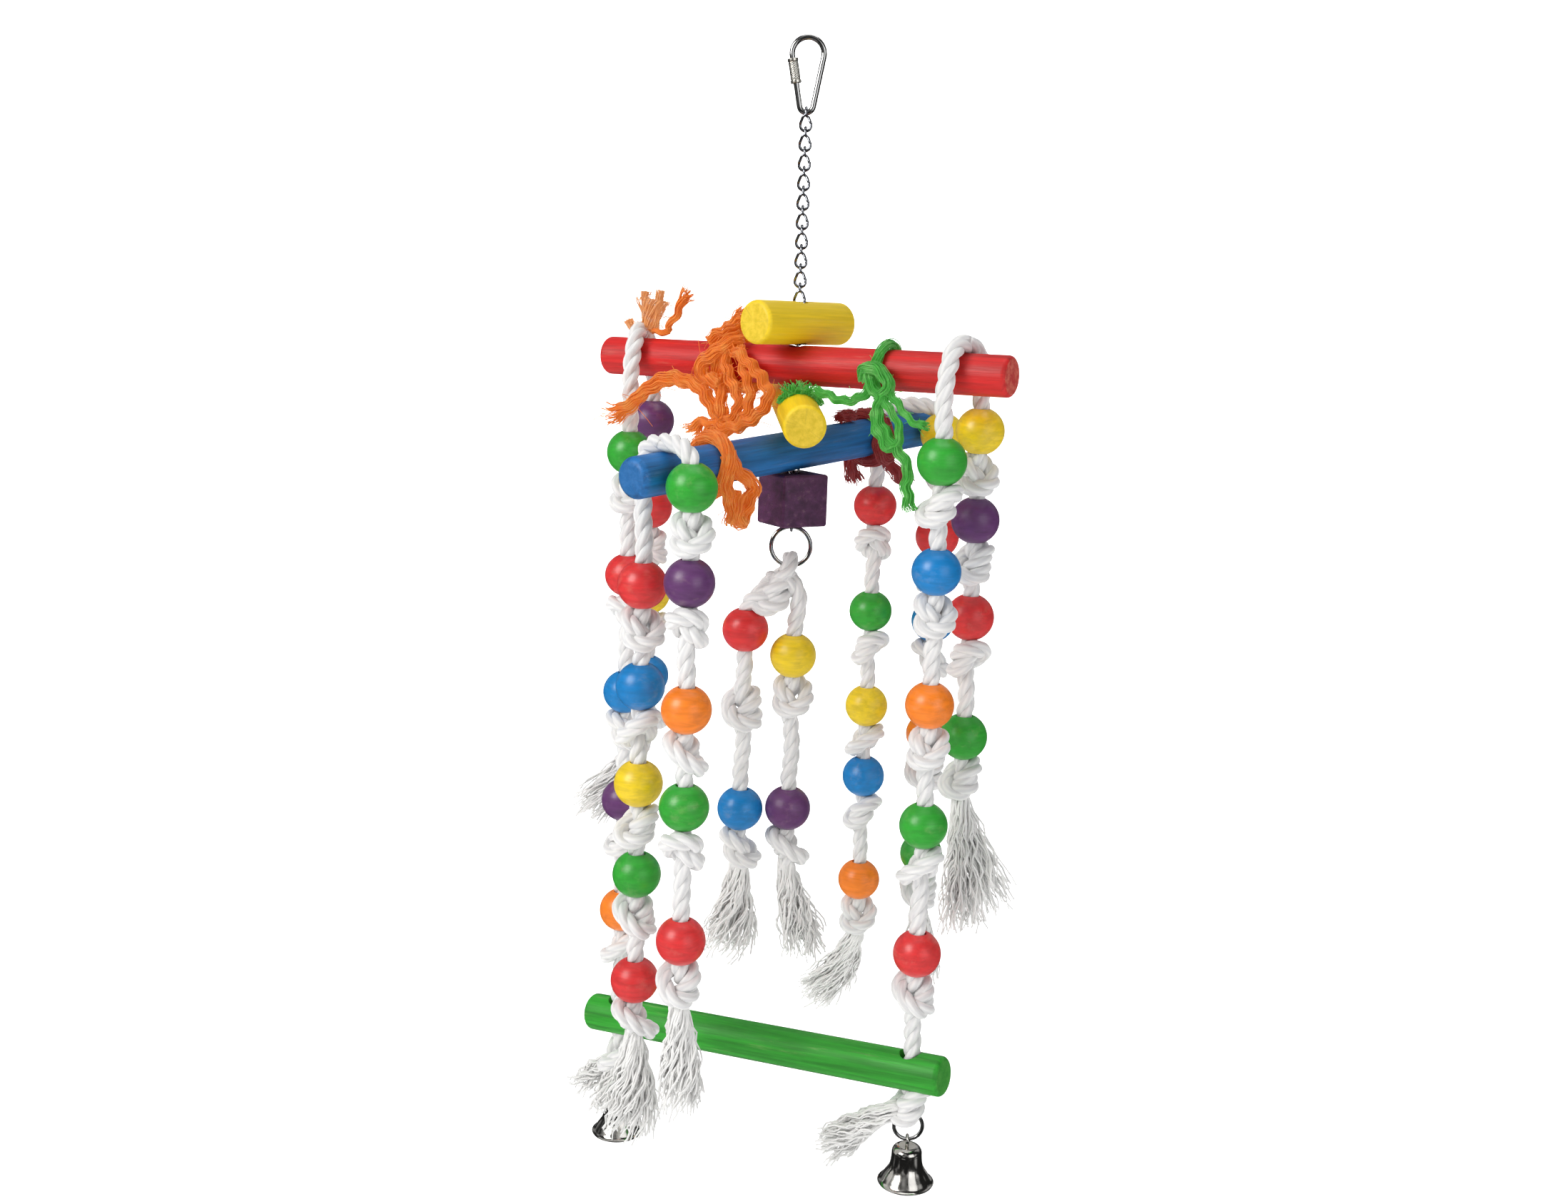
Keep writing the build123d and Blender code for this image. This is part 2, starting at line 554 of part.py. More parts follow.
os.makedirs("parts", exist_ok=True)
make_quick_link()
make_sleeve()
make_chain()
make_stack()
FRONT_LEFT = (-LADDER_HALF, LADDER_Y)
FRONT_RIGHT = (LADDER_HALF, LADDER_Y)
for over_name, dowel, front, rear in (
        ("rope_over_red_left", "red", FRONT_LEFT, "rear_left"),
        ("rope_over_red_right", "red", FRONT_RIGHT, "rear_right"),
        ("rope_over_blue_near", "blue", "near_left", "near_right"),
        ("rope_over_blue_far", "blue", "far_left", "far_right")):
    places = []
    for tail in (front, rear):
        if isinstance(tail, str):
            places.append((*TAILS[tail][1:3], tail_pivot(TAILS[tail][3])))
        else:
            places.append((*tail, LADDER_PIVOT_DROP))
    make_rope_over(over_name, dowel, *places)
make_tails()
make_ladder_side("ladder_left", -LADDER_HALF, LEFT_BEADS, LEFT_SWAY_DROP, PERCH_DROP_LEFT)
make_ladder_side("ladder_right", LADDER_HALF, RIGHT_BEADS, RIGHT_SWAY_DROP, PERCH_DROP_RIGHT)
make_perch()
LEFT_WAY = (Vector(0.35, -0.45, 0) + UP * -0.85).normalized()
RIGHT_WAY = (FACE * -0.8 - UP * 0.6).normalized()
make_perch_end("left", Vector(-LADDER_HALF, LADDER_Y, PERCH_LEFT_Z), LEFT_END_EXTRA, LEFT_WAY, 34)
make_perch_end("right", Vector(LADDER_HALF, LADDER_Y, PERCH_RIGHT_Z), 0, RIGHT_WAY, 46)
make_centre()
make_ties()
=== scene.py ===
import math
import random

import bpy
import numpy as np
from mathutils import Matrix, Vector


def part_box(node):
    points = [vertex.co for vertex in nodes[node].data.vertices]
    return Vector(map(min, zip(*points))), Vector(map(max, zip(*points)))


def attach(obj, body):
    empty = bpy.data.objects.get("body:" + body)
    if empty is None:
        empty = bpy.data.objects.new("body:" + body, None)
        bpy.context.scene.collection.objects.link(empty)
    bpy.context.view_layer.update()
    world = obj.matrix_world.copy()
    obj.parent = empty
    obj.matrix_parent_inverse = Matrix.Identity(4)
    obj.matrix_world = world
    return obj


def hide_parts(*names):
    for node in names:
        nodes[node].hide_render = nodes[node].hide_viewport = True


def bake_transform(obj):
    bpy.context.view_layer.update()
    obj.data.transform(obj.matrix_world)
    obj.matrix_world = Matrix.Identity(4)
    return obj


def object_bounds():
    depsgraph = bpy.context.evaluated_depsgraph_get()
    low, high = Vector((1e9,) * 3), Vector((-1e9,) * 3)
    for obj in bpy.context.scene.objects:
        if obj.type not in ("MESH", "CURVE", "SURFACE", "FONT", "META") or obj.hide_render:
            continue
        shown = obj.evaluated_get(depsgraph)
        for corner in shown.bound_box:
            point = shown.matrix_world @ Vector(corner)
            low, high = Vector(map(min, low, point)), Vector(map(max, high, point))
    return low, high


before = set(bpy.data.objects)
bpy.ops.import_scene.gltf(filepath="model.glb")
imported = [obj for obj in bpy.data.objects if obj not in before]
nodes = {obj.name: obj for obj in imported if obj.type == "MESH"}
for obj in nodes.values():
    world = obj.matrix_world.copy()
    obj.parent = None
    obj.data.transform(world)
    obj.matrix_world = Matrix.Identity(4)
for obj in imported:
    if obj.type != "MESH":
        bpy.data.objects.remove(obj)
cad_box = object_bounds()
random.seed(7)
MM = 0.001

# ------------------------------------------------------------------ sizes (metres)
ROPE_R = 5.5 * MM
KNOT_ROPE_R = 4.8 * MM       # cotton squeezed inside a knot
BEAD_ROPE_R = 4.6 * MM       # and inside a bead
KNOT_CONTACT = 8.4 * MM      # how close two passes of a knot come
KNOT_LENGTH = 104 * MM       # rope used up by one knot
STRAND_R = 0.50              # strand radius and offset, as shares of the rope's radius
STRAND_OFFSET = 0.50
STRAND_PITCH = 31 * MM
ROPE_STEP = 1.7 * MM
BEAD_R = 15 * MM
BEAD_BORE_R = 5.1 * MM
BEAD_TOP = 14.1 * MM         # from a bead's centre up to the rim of its bore, and down to the knot under it
BEAD_FOOT = 13.6 * MM
YARN_R = 0.74 * MM
FIBRE_STEP = 1.6 * MM
ROPE_SPARE = 25 * MM         # rope laid past the last knot, and below the perch's hole: it is cut off
FOOT_SPARE = 30 * MM
PERCH_HOLE_OUT = 113.49 * MM
LONG_DOWEL_R = 12.5          # the red and blue dowels and the perch, in millimetres
STRAND_UVS = "wound"         # UVs of every strand and fibre: length along, share of a turn around

GREEN, RED, BLUE, YELLOW, PURPLE, ORANGE = "green", "red", "blue", "yellow", "purple", "orange"
BEAD_COLOURS = {
    "ladder_left_top_bead": (GREEN,),
    "ladder_left_beads": (RED, BLUE, PURPLE, ORANGE),
    "ladder_right_top_bead": (GREEN,),
    "ladder_right_beads": (BLUE, ORANGE, GREEN, RED),
    "rear_left_beads": (PURPLE, RED, YELLOW, BLUE),
    "rear_right_beads": (YELLOW, PURPLE, RED, GREEN),
    "near_left_beads": (RED, BLUE, YELLOW, GREEN, RED),
    "near_right_beads": (GREEN, PURPLE, ORANGE, GREEN, RED),
    "far_left_beads": (RED, GREEN, YELLOW, BLUE, ORANGE),
    "far_right_beads": (YELLOW, RED, BLUE, ORANGE, GREEN),
    "centre_left_beads": (RED, BLUE),
    "centre_right_beads": (YELLOW, PURPLE),
}
DYES = {
    GREEN: (0.028, 0.37, 0.030),
    RED: (0.70, 0.028, 0.030),
    BLUE: (0.001, 0.20, 0.54),
    YELLOW: (0.84, 0.60, 0.010),
    PURPLE: (0.125, 0.038, 0.150),
    ORANGE: (0.95, 0.22, 0.010),
}


# ------------------------------------------------------------------ node helpers
class Shader:
    """A small helper that wires up one material's nodes."""

    def __init__(self, name):
        self.material = bpy.data.materials.new(name)
        self.material.use_nodes = True
        self.tree = self.material.node_tree
        self.surface = self.tree.nodes["Principled BSDF"]

    def node(self, kind, settings=None, **inputs):
        made = self.tree.nodes.new(kind)
        for key, value in (settings or {}).items():
            setattr(made, key, value)
        for key, value in inputs.items():
            self.plug(value, made.inputs[key.replace("_", " ")])
        return made

    def plug(self, value, socket):
        if isinstance(value, bpy.types.NodeSocket):
            self.tree.links.new(value, socket)
        else:
            socket.default_value = value

    def set(self, **inputs):
        for key, value in inputs.items():
            self.plug(value, self.surface.inputs[key.replace("_", " ")])

    def place(self):
        """Object coordinates."""
        return self.node("ShaderNodeTexCoord").outputs["Object"]

    def stretched(self, where, scale):
        return self.node("ShaderNodeMapping", Vector=where, Scale=scale).outputs[0]

    def noise(self, where, scale, detail=4.0, rough=0.55, distortion=0.0):
        made = self.node("ShaderNodeTexNoise", Vector=where, Scale=scale, Detail=detail, Roughness=rough,
                         Distortion=distortion)
        return made.outputs["Fac"]

    def ramp(self, value, *stops):
        made = self.node("ShaderNodeValToRGB", Fac=value)
        while len(made.color_ramp.elements) < len(stops):
            made.color_ramp.elements.new(0.5)
        for element, (position, colour) in zip(made.color_ramp.elements, stops):
            element.position, element.color = position, (*colour, 1)
        return made.outputs["Color"]

    def grey(self, value, *stops):
        return self.ramp(value, *((position, (level, level, level)) for position, level in stops))

    def mix(self, share, first, second):
        made = self.node("ShaderNodeMix", {"data_type": "RGBA"})
        for value, socket in ((share, made.inputs[0]), (first, made.inputs[6]), (second, made.inputs[7])):
            if isinstance(value, tuple) and len(value) == 3:
                value = (*value, 1)
            self.plug(value, socket)
        return made.outputs[2]

    def maths(self, operation, first, second=0.0):
        made = self.node("ShaderNodeMath", {"operation": operation})
        self.plug(first, made.inputs[0])
        self.plug(second, made.inputs[1])
        return made.outputs[0]

    def bump(self, height, strength, distance):
        made = self.node("ShaderNodeBump", Height=height, Strength=strength, Distance=distance)
        return made.outputs["Normal"]


def shade(colour, factor):
    return tuple(min(1.0, channel * factor) for channel in colour)


def bleached(colour, share, wood):
    """A dye let down with bare wood."""
    return tuple((1 - share) * channel + share * bare for channel, bare in zip(colour, wood))


def cotton(name, colour=(0.90, 0.895, 0.88), shadow=(0.72, 0.72, 0.73), plies=5.0):
    """Soft cotton strand: yarn lines wound round each strand, from the strand's own UVs, with painted shade in the
    grooves between them.
    """
    s = Shader(name)
    uv = s.node("ShaderNodeUVMap", {"uv_map": STRAND_UVS}).outputs["UV"]
    split = s.node("ShaderNodeSeparateXYZ", Vector=uv)
    wound = s.maths("ADD", s.maths("MULTIPLY", split.outputs["Y"], plies),
                    s.maths("MULTIPLY", split.outputs["X"], 62.0))
    ridge = s.maths("SINE", s.maths("MULTIPLY", wound, 2 * math.pi))
    ridge01 = s.maths("ADD", s.maths("MULTIPLY", ridge, 0.5), 0.5)
    fuzz = s.noise(s.place(), 1900.0, detail=3, rough=0.7)
    drift = s.noise(s.place(), 90.0, detail=2)
    # painted shade: the grooves between the yarn lines, and fine specks of fuzz, are mixed toward the shadow colour
    tone = s.mix(s.maths("MULTIPLY", ridge01, 0.85), shadow, colour)
    tone = s.mix(s.grey(fuzz, (0.30, 0.30), (0.75, 0.0)), tone, shadow)
    tone = s.mix(s.grey(drift, (0.45, 0.0), (0.85, 0.35)), tone, shade(colour, 0.93))
    height = s.mix(0.45, s.grey(ridge01, (0, 0), (1, 1)), s.grey(fuzz, (0.3, 0), (0.7, 1)))
    s.set(Base_Color=tone, Roughness=0.92, Normal=s.bump(height, 0.55, 0.0005), Sheen_Weight=0.35,
          Sheen_Roughness=0.5, Specular_IOR_Level=0.2)
    return s.material


def sisal(name, colour, dark, light):
    """Loose dyed sisal: long glossy fibres, from the fibre bundle's UVs, with a painted glow of their own colour."""
    s = Shader(name)
    uv = s.node("ShaderNodeUVMap", {"uv_map": STRAND_UVS}).outputs["UV"]
    fibres = s.noise(s.stretched(uv, (60, 9, 1)), 3.0, detail=5, rough=0.65)
    patch = s.noise(s.place(), 120.0, detail=3)
    tone = s.mix(s.grey(fibres, (0.35, 0.0), (0.62, 1.0)), dark, colour)
    tone = s.mix(s.grey(patch, (0.50, 0.0), (0.78, 0.55)), tone, light)
    # painted light: the fibres' own colour is also emitted, a glow that brightens their shaded parts
    s.set(Base_Color=tone, Roughness=0.62, Normal=s.bump(s.grey(fibres, (0.3, 0), (0.7, 1)), 0.6, 0.0006),
          Sheen_Weight=0.25, Specular_IOR_Level=0.4, Emission_Color=tone, Emission_Strength=0.15)
    return s.material


def plated(name, tint, rough):
    """Bright nickel plate with faint handling marks."""
    s = Shader(name)
    marks = s.noise(s.place(), 260.0, detail=5, rough=0.7)
    smear = s.noise(s.place(), 45.0, detail=2)
    tone = s.mix(s.grey(smear, (0.4, 0.0), (0.8, 0.6)), tint, shade(tint, 0.82))
    s.set(Base_Color=tone, Metallic=1.0, Roughness=s.grey(marks, (0.35, rough - 0.04), (0.75, rough + 0.14)),
          Normal=s.bump(marks, 0.05, 0.0002))
    return s.material


# ------------------------------------------------------------------ mesh helpers
def settle(piece, body=None, stands_for=None):
    """Hangs a piece on the body it rides and hides the CAD node it stands for."""
    if body:
        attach(piece, body)
    if stands_for:
        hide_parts(stands_for)
    return piece


def new_piece(name, verts, faces, material, uvs=None):
    mesh = bpy.data.meshes.new(name)
    mesh.from_pydata([tuple(v) for v in verts], [], faces)
    if uvs is not None:
        layer = mesh.uv_layers.new(name=STRAND_UVS)
        index = np.empty(len(mesh.loops), np.int32)
        mesh.loops.foreach_get("vertex_index", index)
        layer.data.foreach_set("uv", np.asarray(uvs, np.float32)[index].ravel())
    mesh.polygons.foreach_set("use_smooth", [True] * len(mesh.polygons))
    mesh.materials.append(material)
    piece = bpy.data.objects.new(name, mesh)
    bpy.context.scene.collection.objects.link(piece)
    return piece


class Mesh:
    """Vertices, faces and UVs gathered from many tubes into one piece."""

    def __init__(self):
        self.verts, self.faces, self.uvs, self.count = [], [], [], 0

    def rings(self, verts, uvs):
        """Rings of points (N x sides x 3), skinned and capped."""
        count, sides = verts.shape[:2]
        rows = np.arange(count - 1)[:, None] * sides
        cols = np.arange(sides)[None]
        quads = np.stack([rows + cols, rows + (cols + 1) % sides, rows + sides + (cols + 1) % sides,
                          rows + sides + cols], 2).reshape(-1, 4) + self.count
        self.verts.append(verts.reshape(-1, 3))
        self.uvs.append(uvs.reshape(-1, 2))
        self.faces.extend(quads.tolist())
        self.faces.append(list(range(self.count, self.count + sides))[::-1])
        self.faces.append(list(range(self.count + (count - 1) * sides, self.count + count * sides)))
        self.count += count * sides

    def tube(self, path, radius, sides=8, phase=0.0):
        """A round tube along a path (N x 3), with one radius or one per point."""
        self.rings(*tube_rings(path, radius, sides, phase))

    def piece(self, name, material):
        return new_piece(name, np.concatenate(self.verts), self.faces, material, np.concatenate(self.uvs))


def length_along(path):
    return np.concatenate([[0], np.cumsum(np.linalg.norm(np.diff(path, axis=0), axis=1))])


def carried_frames(path):
    """Tangent, normal and binormal along a path, carried without twist."""
    tangent = np.gradient(path, axis=0)
    tangent /= np.linalg.norm(tangent, axis=1, keepdims=True) + 1e-15
    normal = np.empty_like(tangent)
    start = np.cross(tangent[0], (0.31, 0.95, 0.07))
    normal[0] = start / np.linalg.norm(start)
    for k in range(1, len(path)):
        carried = normal[k - 1] - tangent[k] * np.dot(normal[k - 1], tangent[k])
        normal[k] = carried / np.linalg.norm(carried)
    return tangent, normal, np.cross(tangent, normal)


def tube_rings(path, radius, sides, phase=0.0):
    """Rings of points round a path, and their UVs: length along, share of a turn around."""
    path = np.asarray(path, float)
    count = len(path)
    radius = np.broadcast_to(np.asarray(radius, float), (count,))
    _, normal, binormal = carried_frames(path)
    angle = np.linspace(0, 2 * np.pi, sides, endpoint=False) + phase
    ring = np.cos(angle)[None, :, None] * normal[:, None] + np.sin(angle)[None, :, None] * binormal[:, None]
    length = length_along(path)
    uvs = np.stack([np.repeat(length[:, None], sides, 1), np.repeat((angle / (2 * np.pi))[None], count, 0)], 2)
    return path[:, None] + ring * radius[:, None, None], uvs


def resample(points, step):
    """Evenly spaced points along a polyline."""
    points = np.asarray(points, float)
    length = length_along(points)
    count = max(3, int(round(length[-1] / step)) + 1)
    wanted = np.linspace(0, length[-1], count)
    return np.stack([np.interp(wanted, length, points[:, k]) for k in range(3)], 1)


def smooth_line(points, step=ROPE_STEP):
    """A Catmull-Rom line through a few points, evenly resampled."""
    points = [np.asarray(p, float) for p in points]
    padded = [2 * points[0] - points[1], *points, 2 * points[-1] - points[-2]]
    line = []
    for k in range(len(points) - 1):
        a, b, c, d = padded[k:k + 4]
        for t in np.linspace(0, 1, 24, endpoint=False):
            line.append(0.5 * ((2 * b) + (c - a) * t + (2 * a - 5 * b + 4 * c - d) * t ** 2
                               + (3 * b - 3 * c + d - a) * t ** 3))
    line.append(points[-1])
    return resample(line, step)


def eased(path, rounds=3):
    """A path with its small corners rounded off."""
    path = path.copy()
    for _ in range(rounds):
        path[1:-1] = 0.25 * path[:-2] + 0.5 * path[1:-1] + 0.25 * path[2:]
    return path


# ------------------------------------------------------------------ rope
def tight_knot(points=84, rounds=520, pull=0.012 * KNOT_CONTACT):
    """Centreline of an overhand knot pulled tight along Z: ends on the Z axis, centred on the origin."""
    t = np.linspace(-2.15, 2.15, points)
    line = np.stack([(t ** 3 - 3 * t) * 0.9, (t ** 4 - 4 * t * t + 2) * 0.9, (t ** 5 - 10 * t) * 0.35], 1)
    line *= KNOT_LENGTH / np.linalg.norm(np.diff(line, axis=0), axis=1).sum()
    step = KNOT_LENGTH / (points - 1)
    far_one, far_two = np.triu_indices(points, int(math.ceil(KNOT_CONTACT * 1.25 / step)))
    top, bottom = (0, -1) if line[0, 2] > line[-1, 2] else (-1, 0)
    for _ in range(rounds):
        line[top, 2] += pull
        line[bottom, 2] -= pull
        line[[top, bottom], :2] *= 0.9
        line[1:-1] += 0.12 * (0.5 * (line[:-2] + line[2:]) - line[1:-1])
        for _ in range(6):
            for first in (0, 1):
                a, b = line[first:-1:2], line[first + 1::2]
                pairs = min(len(a), len(b))
                gap = b[:pairs] - a[:pairs]
                length = np.linalg.norm(gap, axis=1, keepdims=True) + 1e-15
                fix = gap * (0.5 * (length - step) / length)
                line[first:-1:2][:pairs] += fix
                line[first + 1::2][:pairs] -= fix
            gap = line[far_two] - line[far_one]
            length = np.linalg.norm(gap, axis=1)
            near = length < KNOT_CONTACT
            fix = gap[near] * (0.25 * (KNOT_CONTACT - length[near]) / length[near])[:, None]
            np.add.at(line, far_one[near], -fix)
            np.add.at(line, far_two[near], fix)
    if line[0, 2] < line[-1, 2]:
        line = line[::-1]
    return line - (0, 0, (line[0, 2] + line[-1, 2]) / 2)


KNOT = tight_knot()
KNOT_HALF = KNOT[0, 2]
KNOT_REACH = np.abs(KNOT[:, 2]).max() + KNOT_ROPE_R


def knot_at(centre, turn, mirrored=False, squash=1.0):
    """The tight knot, turned about the rope and placed; it may be its own mirror image."""
    line = KNOT * (1, -1 if mirrored else 1, squash)
    c, s = math.cos(turn), math.sin(turn)
    return line @ np.array([[c, s, 0], [-s, c, 0], [0, 0, 1]]) + np.asarray(centre)


def in_knots(path, knots):
    """How far inside a knot each point of a path is, from 0 to 1."""
    inside = np.zeros(len(path))
    for centre in knots:
        away = np.linalg.norm(path - np.asarray(centre), axis=1)
        inside = np.maximum(inside, np.clip((KNOT_HALF * 1.35 - away) / (KNOT_HALF * 0.5), 0, 1))
    return inside


def strand_paths(path, radius, phase=0.0):
    """The three strands laid round a rope's centreline."""
    _, normal, binormal = carried_frames(path)
    length = length_along(path)
    for strand in range(3):
        angle = phase + 2 * np.pi * (length / STRAND_PITCH + strand / 3)
        offset = normal * np.cos(angle)[:, None] + binormal * np.sin(angle)[:, None]
        yield path + offset * (radius * STRAND_OFFSET)[:, None]


def strand_rings(path, knots=(), phase=0.0, scale=1.0, squeeze=0.0):
    """Rings of the three twisted strands along a path: squeezed in knots, where the strands also spread."""
    inside = in_knots(path, knots)
    radius = (ROPE_R - (ROPE_R - KNOT_ROPE_R) * inside) * scale
    radius = radius - (radius - BEAD_ROPE_R) * squeeze
    for strand in strand_paths(path, radius, phase):
        yield tube_rings(strand, radius * STRAND_R * (1.08 + 0.17 * inside), 12)


def add_rope(mesh, path, knots=(), scale=1.0):
    for rings in strand_rings(path, knots, scale=scale):
        mesh.rings(*rings)


def frayed_end(mesh, top, length, spread, drift=(0, 0, 0), yarns=84, heading=(0, 0, -1), droop=0.0):
    """Yarns of an unlaid rope end: still twisted at the top, wavy and apart at the bottom."""
    heading = np.asarray(heading, float)
    heading /= np.linalg.norm(heading)
    side = np.cross(heading, (0.3, 0.9, 0.2))
    side /= np.linalg.norm(side)
    other = np.cross(heading, side)
    t = np.linspace(0, 1, 15)
    for yarn in range(yarns):
        strand = yarn % 3
        turn = 2 * math.pi * (strand / 3 + random.uniform(-0.12, 0.12))
        reach = ROPE_R * math.sqrt(random.uniform(0.02, 1.0)) * 0.86
        own = length * random.uniform(0.66, 1.0)
        twist = turn + 2.6 * t * random.uniform(0.7, 1.1)
        out = reach + (spread * random.random() ** 0.6 - reach) * t ** 0.95
        wave = 1.3 * MM * np.minimum(1.0, t * 2.2)
        phase_one, phase_two = random.uniform(0, 6.28), random.uniform(0, 6.28)
        turns = random.uniform(2.4, 4.6)
        across = np.cos(twist) * out + wave * np.sin(2 * math.pi * turns * t + phase_one)
        along = np.sin(twist) * out + wave * np.cos(2 * math.pi * turns * 0.8 * t + phase_two)
        path = (np.asarray(top)[None] + heading[None] * (own * t)[:, None] + side[None] * across[:, None]
                + other[None] * along[:, None] + np.asarray(drift)[None] * (t ** 1.6)[:, None]
                - np.array([[0, 0, 1]]) * (droop * t ** 2)[:, None])
        radius = YARN_R * random.uniform(0.75, 1.25) * (1.15 - 0.5 * t)
        mesh.tube(path, radius, sides=5, phase=turn)


# ------------------------------------------------------------------ places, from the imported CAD
UP = np.array([0, 0, 1.0])
FACE = np.array([math.cos(math.radians(30)), math.sin(math.radians(30)), 0])
DEPTH = np.array([-FACE[1], FACE[0], 0])


def node_points(name):
    mesh = nodes[name].data
    points = np.empty(len(mesh.vertices) * 3, np.float32)
    mesh.vertices.foreach_get("co", points)
    return points.reshape(-1, 3).astype(float)


def bead_places(name):
    """Centres of the beads on one rope, top one first: gaps in height part one bead from the next."""
    points = node_points(name)
    points = points[np.argsort(-points[:, 2])]
    cuts = np.nonzero(np.diff(points[:, 2]) < -6 * MM)[0] + 1
    return [(group.min(0) + group.max(0)) / 2 for group in np.split(points, cuts)]


def middle(name):
    low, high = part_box(name)
    return np.array((low + high) / 2)


def long_axis(name, toward):
    """Direction of a dowel's length, pointing the way of `toward`."""
    points = node_points(name)
    points = points - points.mean(0)
    axis = np.linalg.eigh(points.T @ points)[1][:, -1]
    return axis * np.sign(axis @ np.asarray(toward))


class Dowel:
    """A long dowel, and places beside it: along its axis, out to one side and up, in millimetres."""

    def __init__(self, name, toward, side_sign, radius):
        self.centre, self.axis, self.radius = middle(name), long_axis(name, toward), radius
        side = np.array([self.axis[1], -self.axis[0], 0]) * side_sign
        self.side = side / np.linalg.norm(side)

    def beside(self, along, out, rise=0.0):
        return self.centre + (self.axis * along + self.side * out + UP * rise) * MM

    def locate(self, point):
        """Along and out of a point, in millimetres."""
        offset = (np.asarray(point) - self.centre) / MM
        along = (offset @ self.axis - offset[2] * self.axis[2]) / (1 - self.axis[2] ** 2)
        return along, (offset - self.axis * along) @ self.side


RED_DOWEL = Dowel("red_dowel", (1, 0, 0), -1, LONG_DOWEL_R)
BLUE_DOWEL = Dowel("blue_dowel", (0, 1, 0), 1, LONG_DOWEL_R)
DOWELS = {"red": RED_DOWEL, "blue": BLUE_DOWEL}

LADDER_PIVOT = 14.0          # drops below the dowel's axis, in millimetres
KNOT_ROOM = 12.9 * MM        # half the height of a finished knot

white_cotton = cotton("cotton_rope")
grey_cotton = cotton("cotton_rope_yarn", colour=(0.97, 0.965, 0.95), shadow=(0.84, 0.84, 0.83), plies=2.0)


# ------------------------------------------------------------------ beads
def bead_piece(name, centre, colour, body, stands_for):
    """A turned bead: a slightly flattened ball with a rounded bore, grain across the bore."""
    flat = random.uniform(0.965, 1.0)
    rim, rows_of_ball = 0.9 * MM, 24
    top = math.sqrt(BEAD_R ** 2 - (BEAD_BORE_R + rim) ** 2)
    limit = math.asin(top / BEAD_R)
    profile = []
    for k in range(rows_of_ball + 1):
        angle = limit * (2 * k / rows_of_ball - 1)
        profile.append((BEAD_R * math.cos(angle), BEAD_R * math.sin(angle)))
    lip = [math.radians(70 + 110 * k / 4) for k in range(1, 5)]
    for sign, angles in ((1, lip), (-1, lip[::-1])):
        for angle in angles:
            profile.append((BEAD_BORE_R + rim + rim * math.cos(angle),
                            sign * (top - rim * 0.9 + rim * math.sin(angle))))
    sides = 56
    verts, faces = [], []
    for radius, height in profile:
        for k in range(sides):
            angle = 2 * math.pi * k / sides
            verts.append((radius * math.cos(angle), radius * math.sin(angle), height * flat))
    rows = len(profile)
    for row in range(rows):
        below, above = row * sides, ((row + 1) % rows) * sides
        for k in range(sides):
            nxt = (k + 1) % sides
            faces.append((below + k, below + nxt, above + nxt, above + k))
    bead = new_piece(name, verts, faces, BEAD_WOOD[colour])
    bead.location = Vector(centre)
    bead.rotation_euler = (0, 0, random.uniform(0, 2 * math.pi))
    settle(bead, body, stands_for)


def bead_wood(name, colour):
    """Dyed turned wood: grain bands across the ball, darker swirls and paler rubbed spots."""
    s = Shader(name)
    info = s.node("ShaderNodeObjectInfo")
    where = s.node("ShaderNodeTexCoord")
    own = s.node("ShaderNodeVectorMath", {"operation": "ADD"})
    s.plug(where.outputs["Object"], own.inputs[0])
    s.plug(s.maths("MULTIPLY", info.outputs["Random"], 7.3), own.inputs[1])

    def banded(scale):
        return s.stretched(own.outputs[0], scale)

    grain = s.noise(banded((14, 90, 240)), 1.7, detail=6, rough=0.6, distortion=0.7)
    swirl = s.noise(banded((50, 60, 95)), 1.0, detail=3, distortion=1.3)
    fine = s.noise(banded((90, 500, 1500)), 1.3, detail=4)
    base = s.mix(s.grey(grain, (0.30, 0.0), (0.66, 1.0)), shade(colour, 0.84), shade(colour, 1.12))
    base = s.mix(s.grey(swirl, (0.50, 0.0), (0.80, 0.45)), base, shade(colour, 0.62))
    base = s.mix(s.grey(fine, (0.60, 0.0), (0.82, 0.18)), base, shade(colour, 0.5))
    pale = bleached(colour, 0.5, (0.85, 0.66, 0.46))
    rubbed = s.noise(banded((70, 110, 110)), 1.0, detail=5, rough=0.65)
    base = s.mix(s.grey(rubbed, (0.56, 0.0), (0.82, 0.30)), base, pale)
    height = s.mix(0.4, s.grey(grain, (0.3, 0), (0.65, 1)), s.grey(fine, (0.3, 0), (0.7, 1)))
    s.set(Base_Color=base, Roughness=s.grey(swirl, (0.3, 0.30), (0.7, 0.46)), Coat_Weight=0.25, Coat_Roughness=0.28,
          Normal=s.bump(height, 0.22, 0.00025))
    return s.material


BEAD_WOOD = {colour: bead_wood(f"bead_{colour}", dye) for colour, dye in DYES.items()}


def thread_beads(node, body):
    for number, (centre, colour) in enumerate(zip(bead_places(node), BEAD_COLOURS[node], strict=True), 1):
        bead_piece(f"{node.removesuffix('s')}_{number}", centre, colour, body, node)


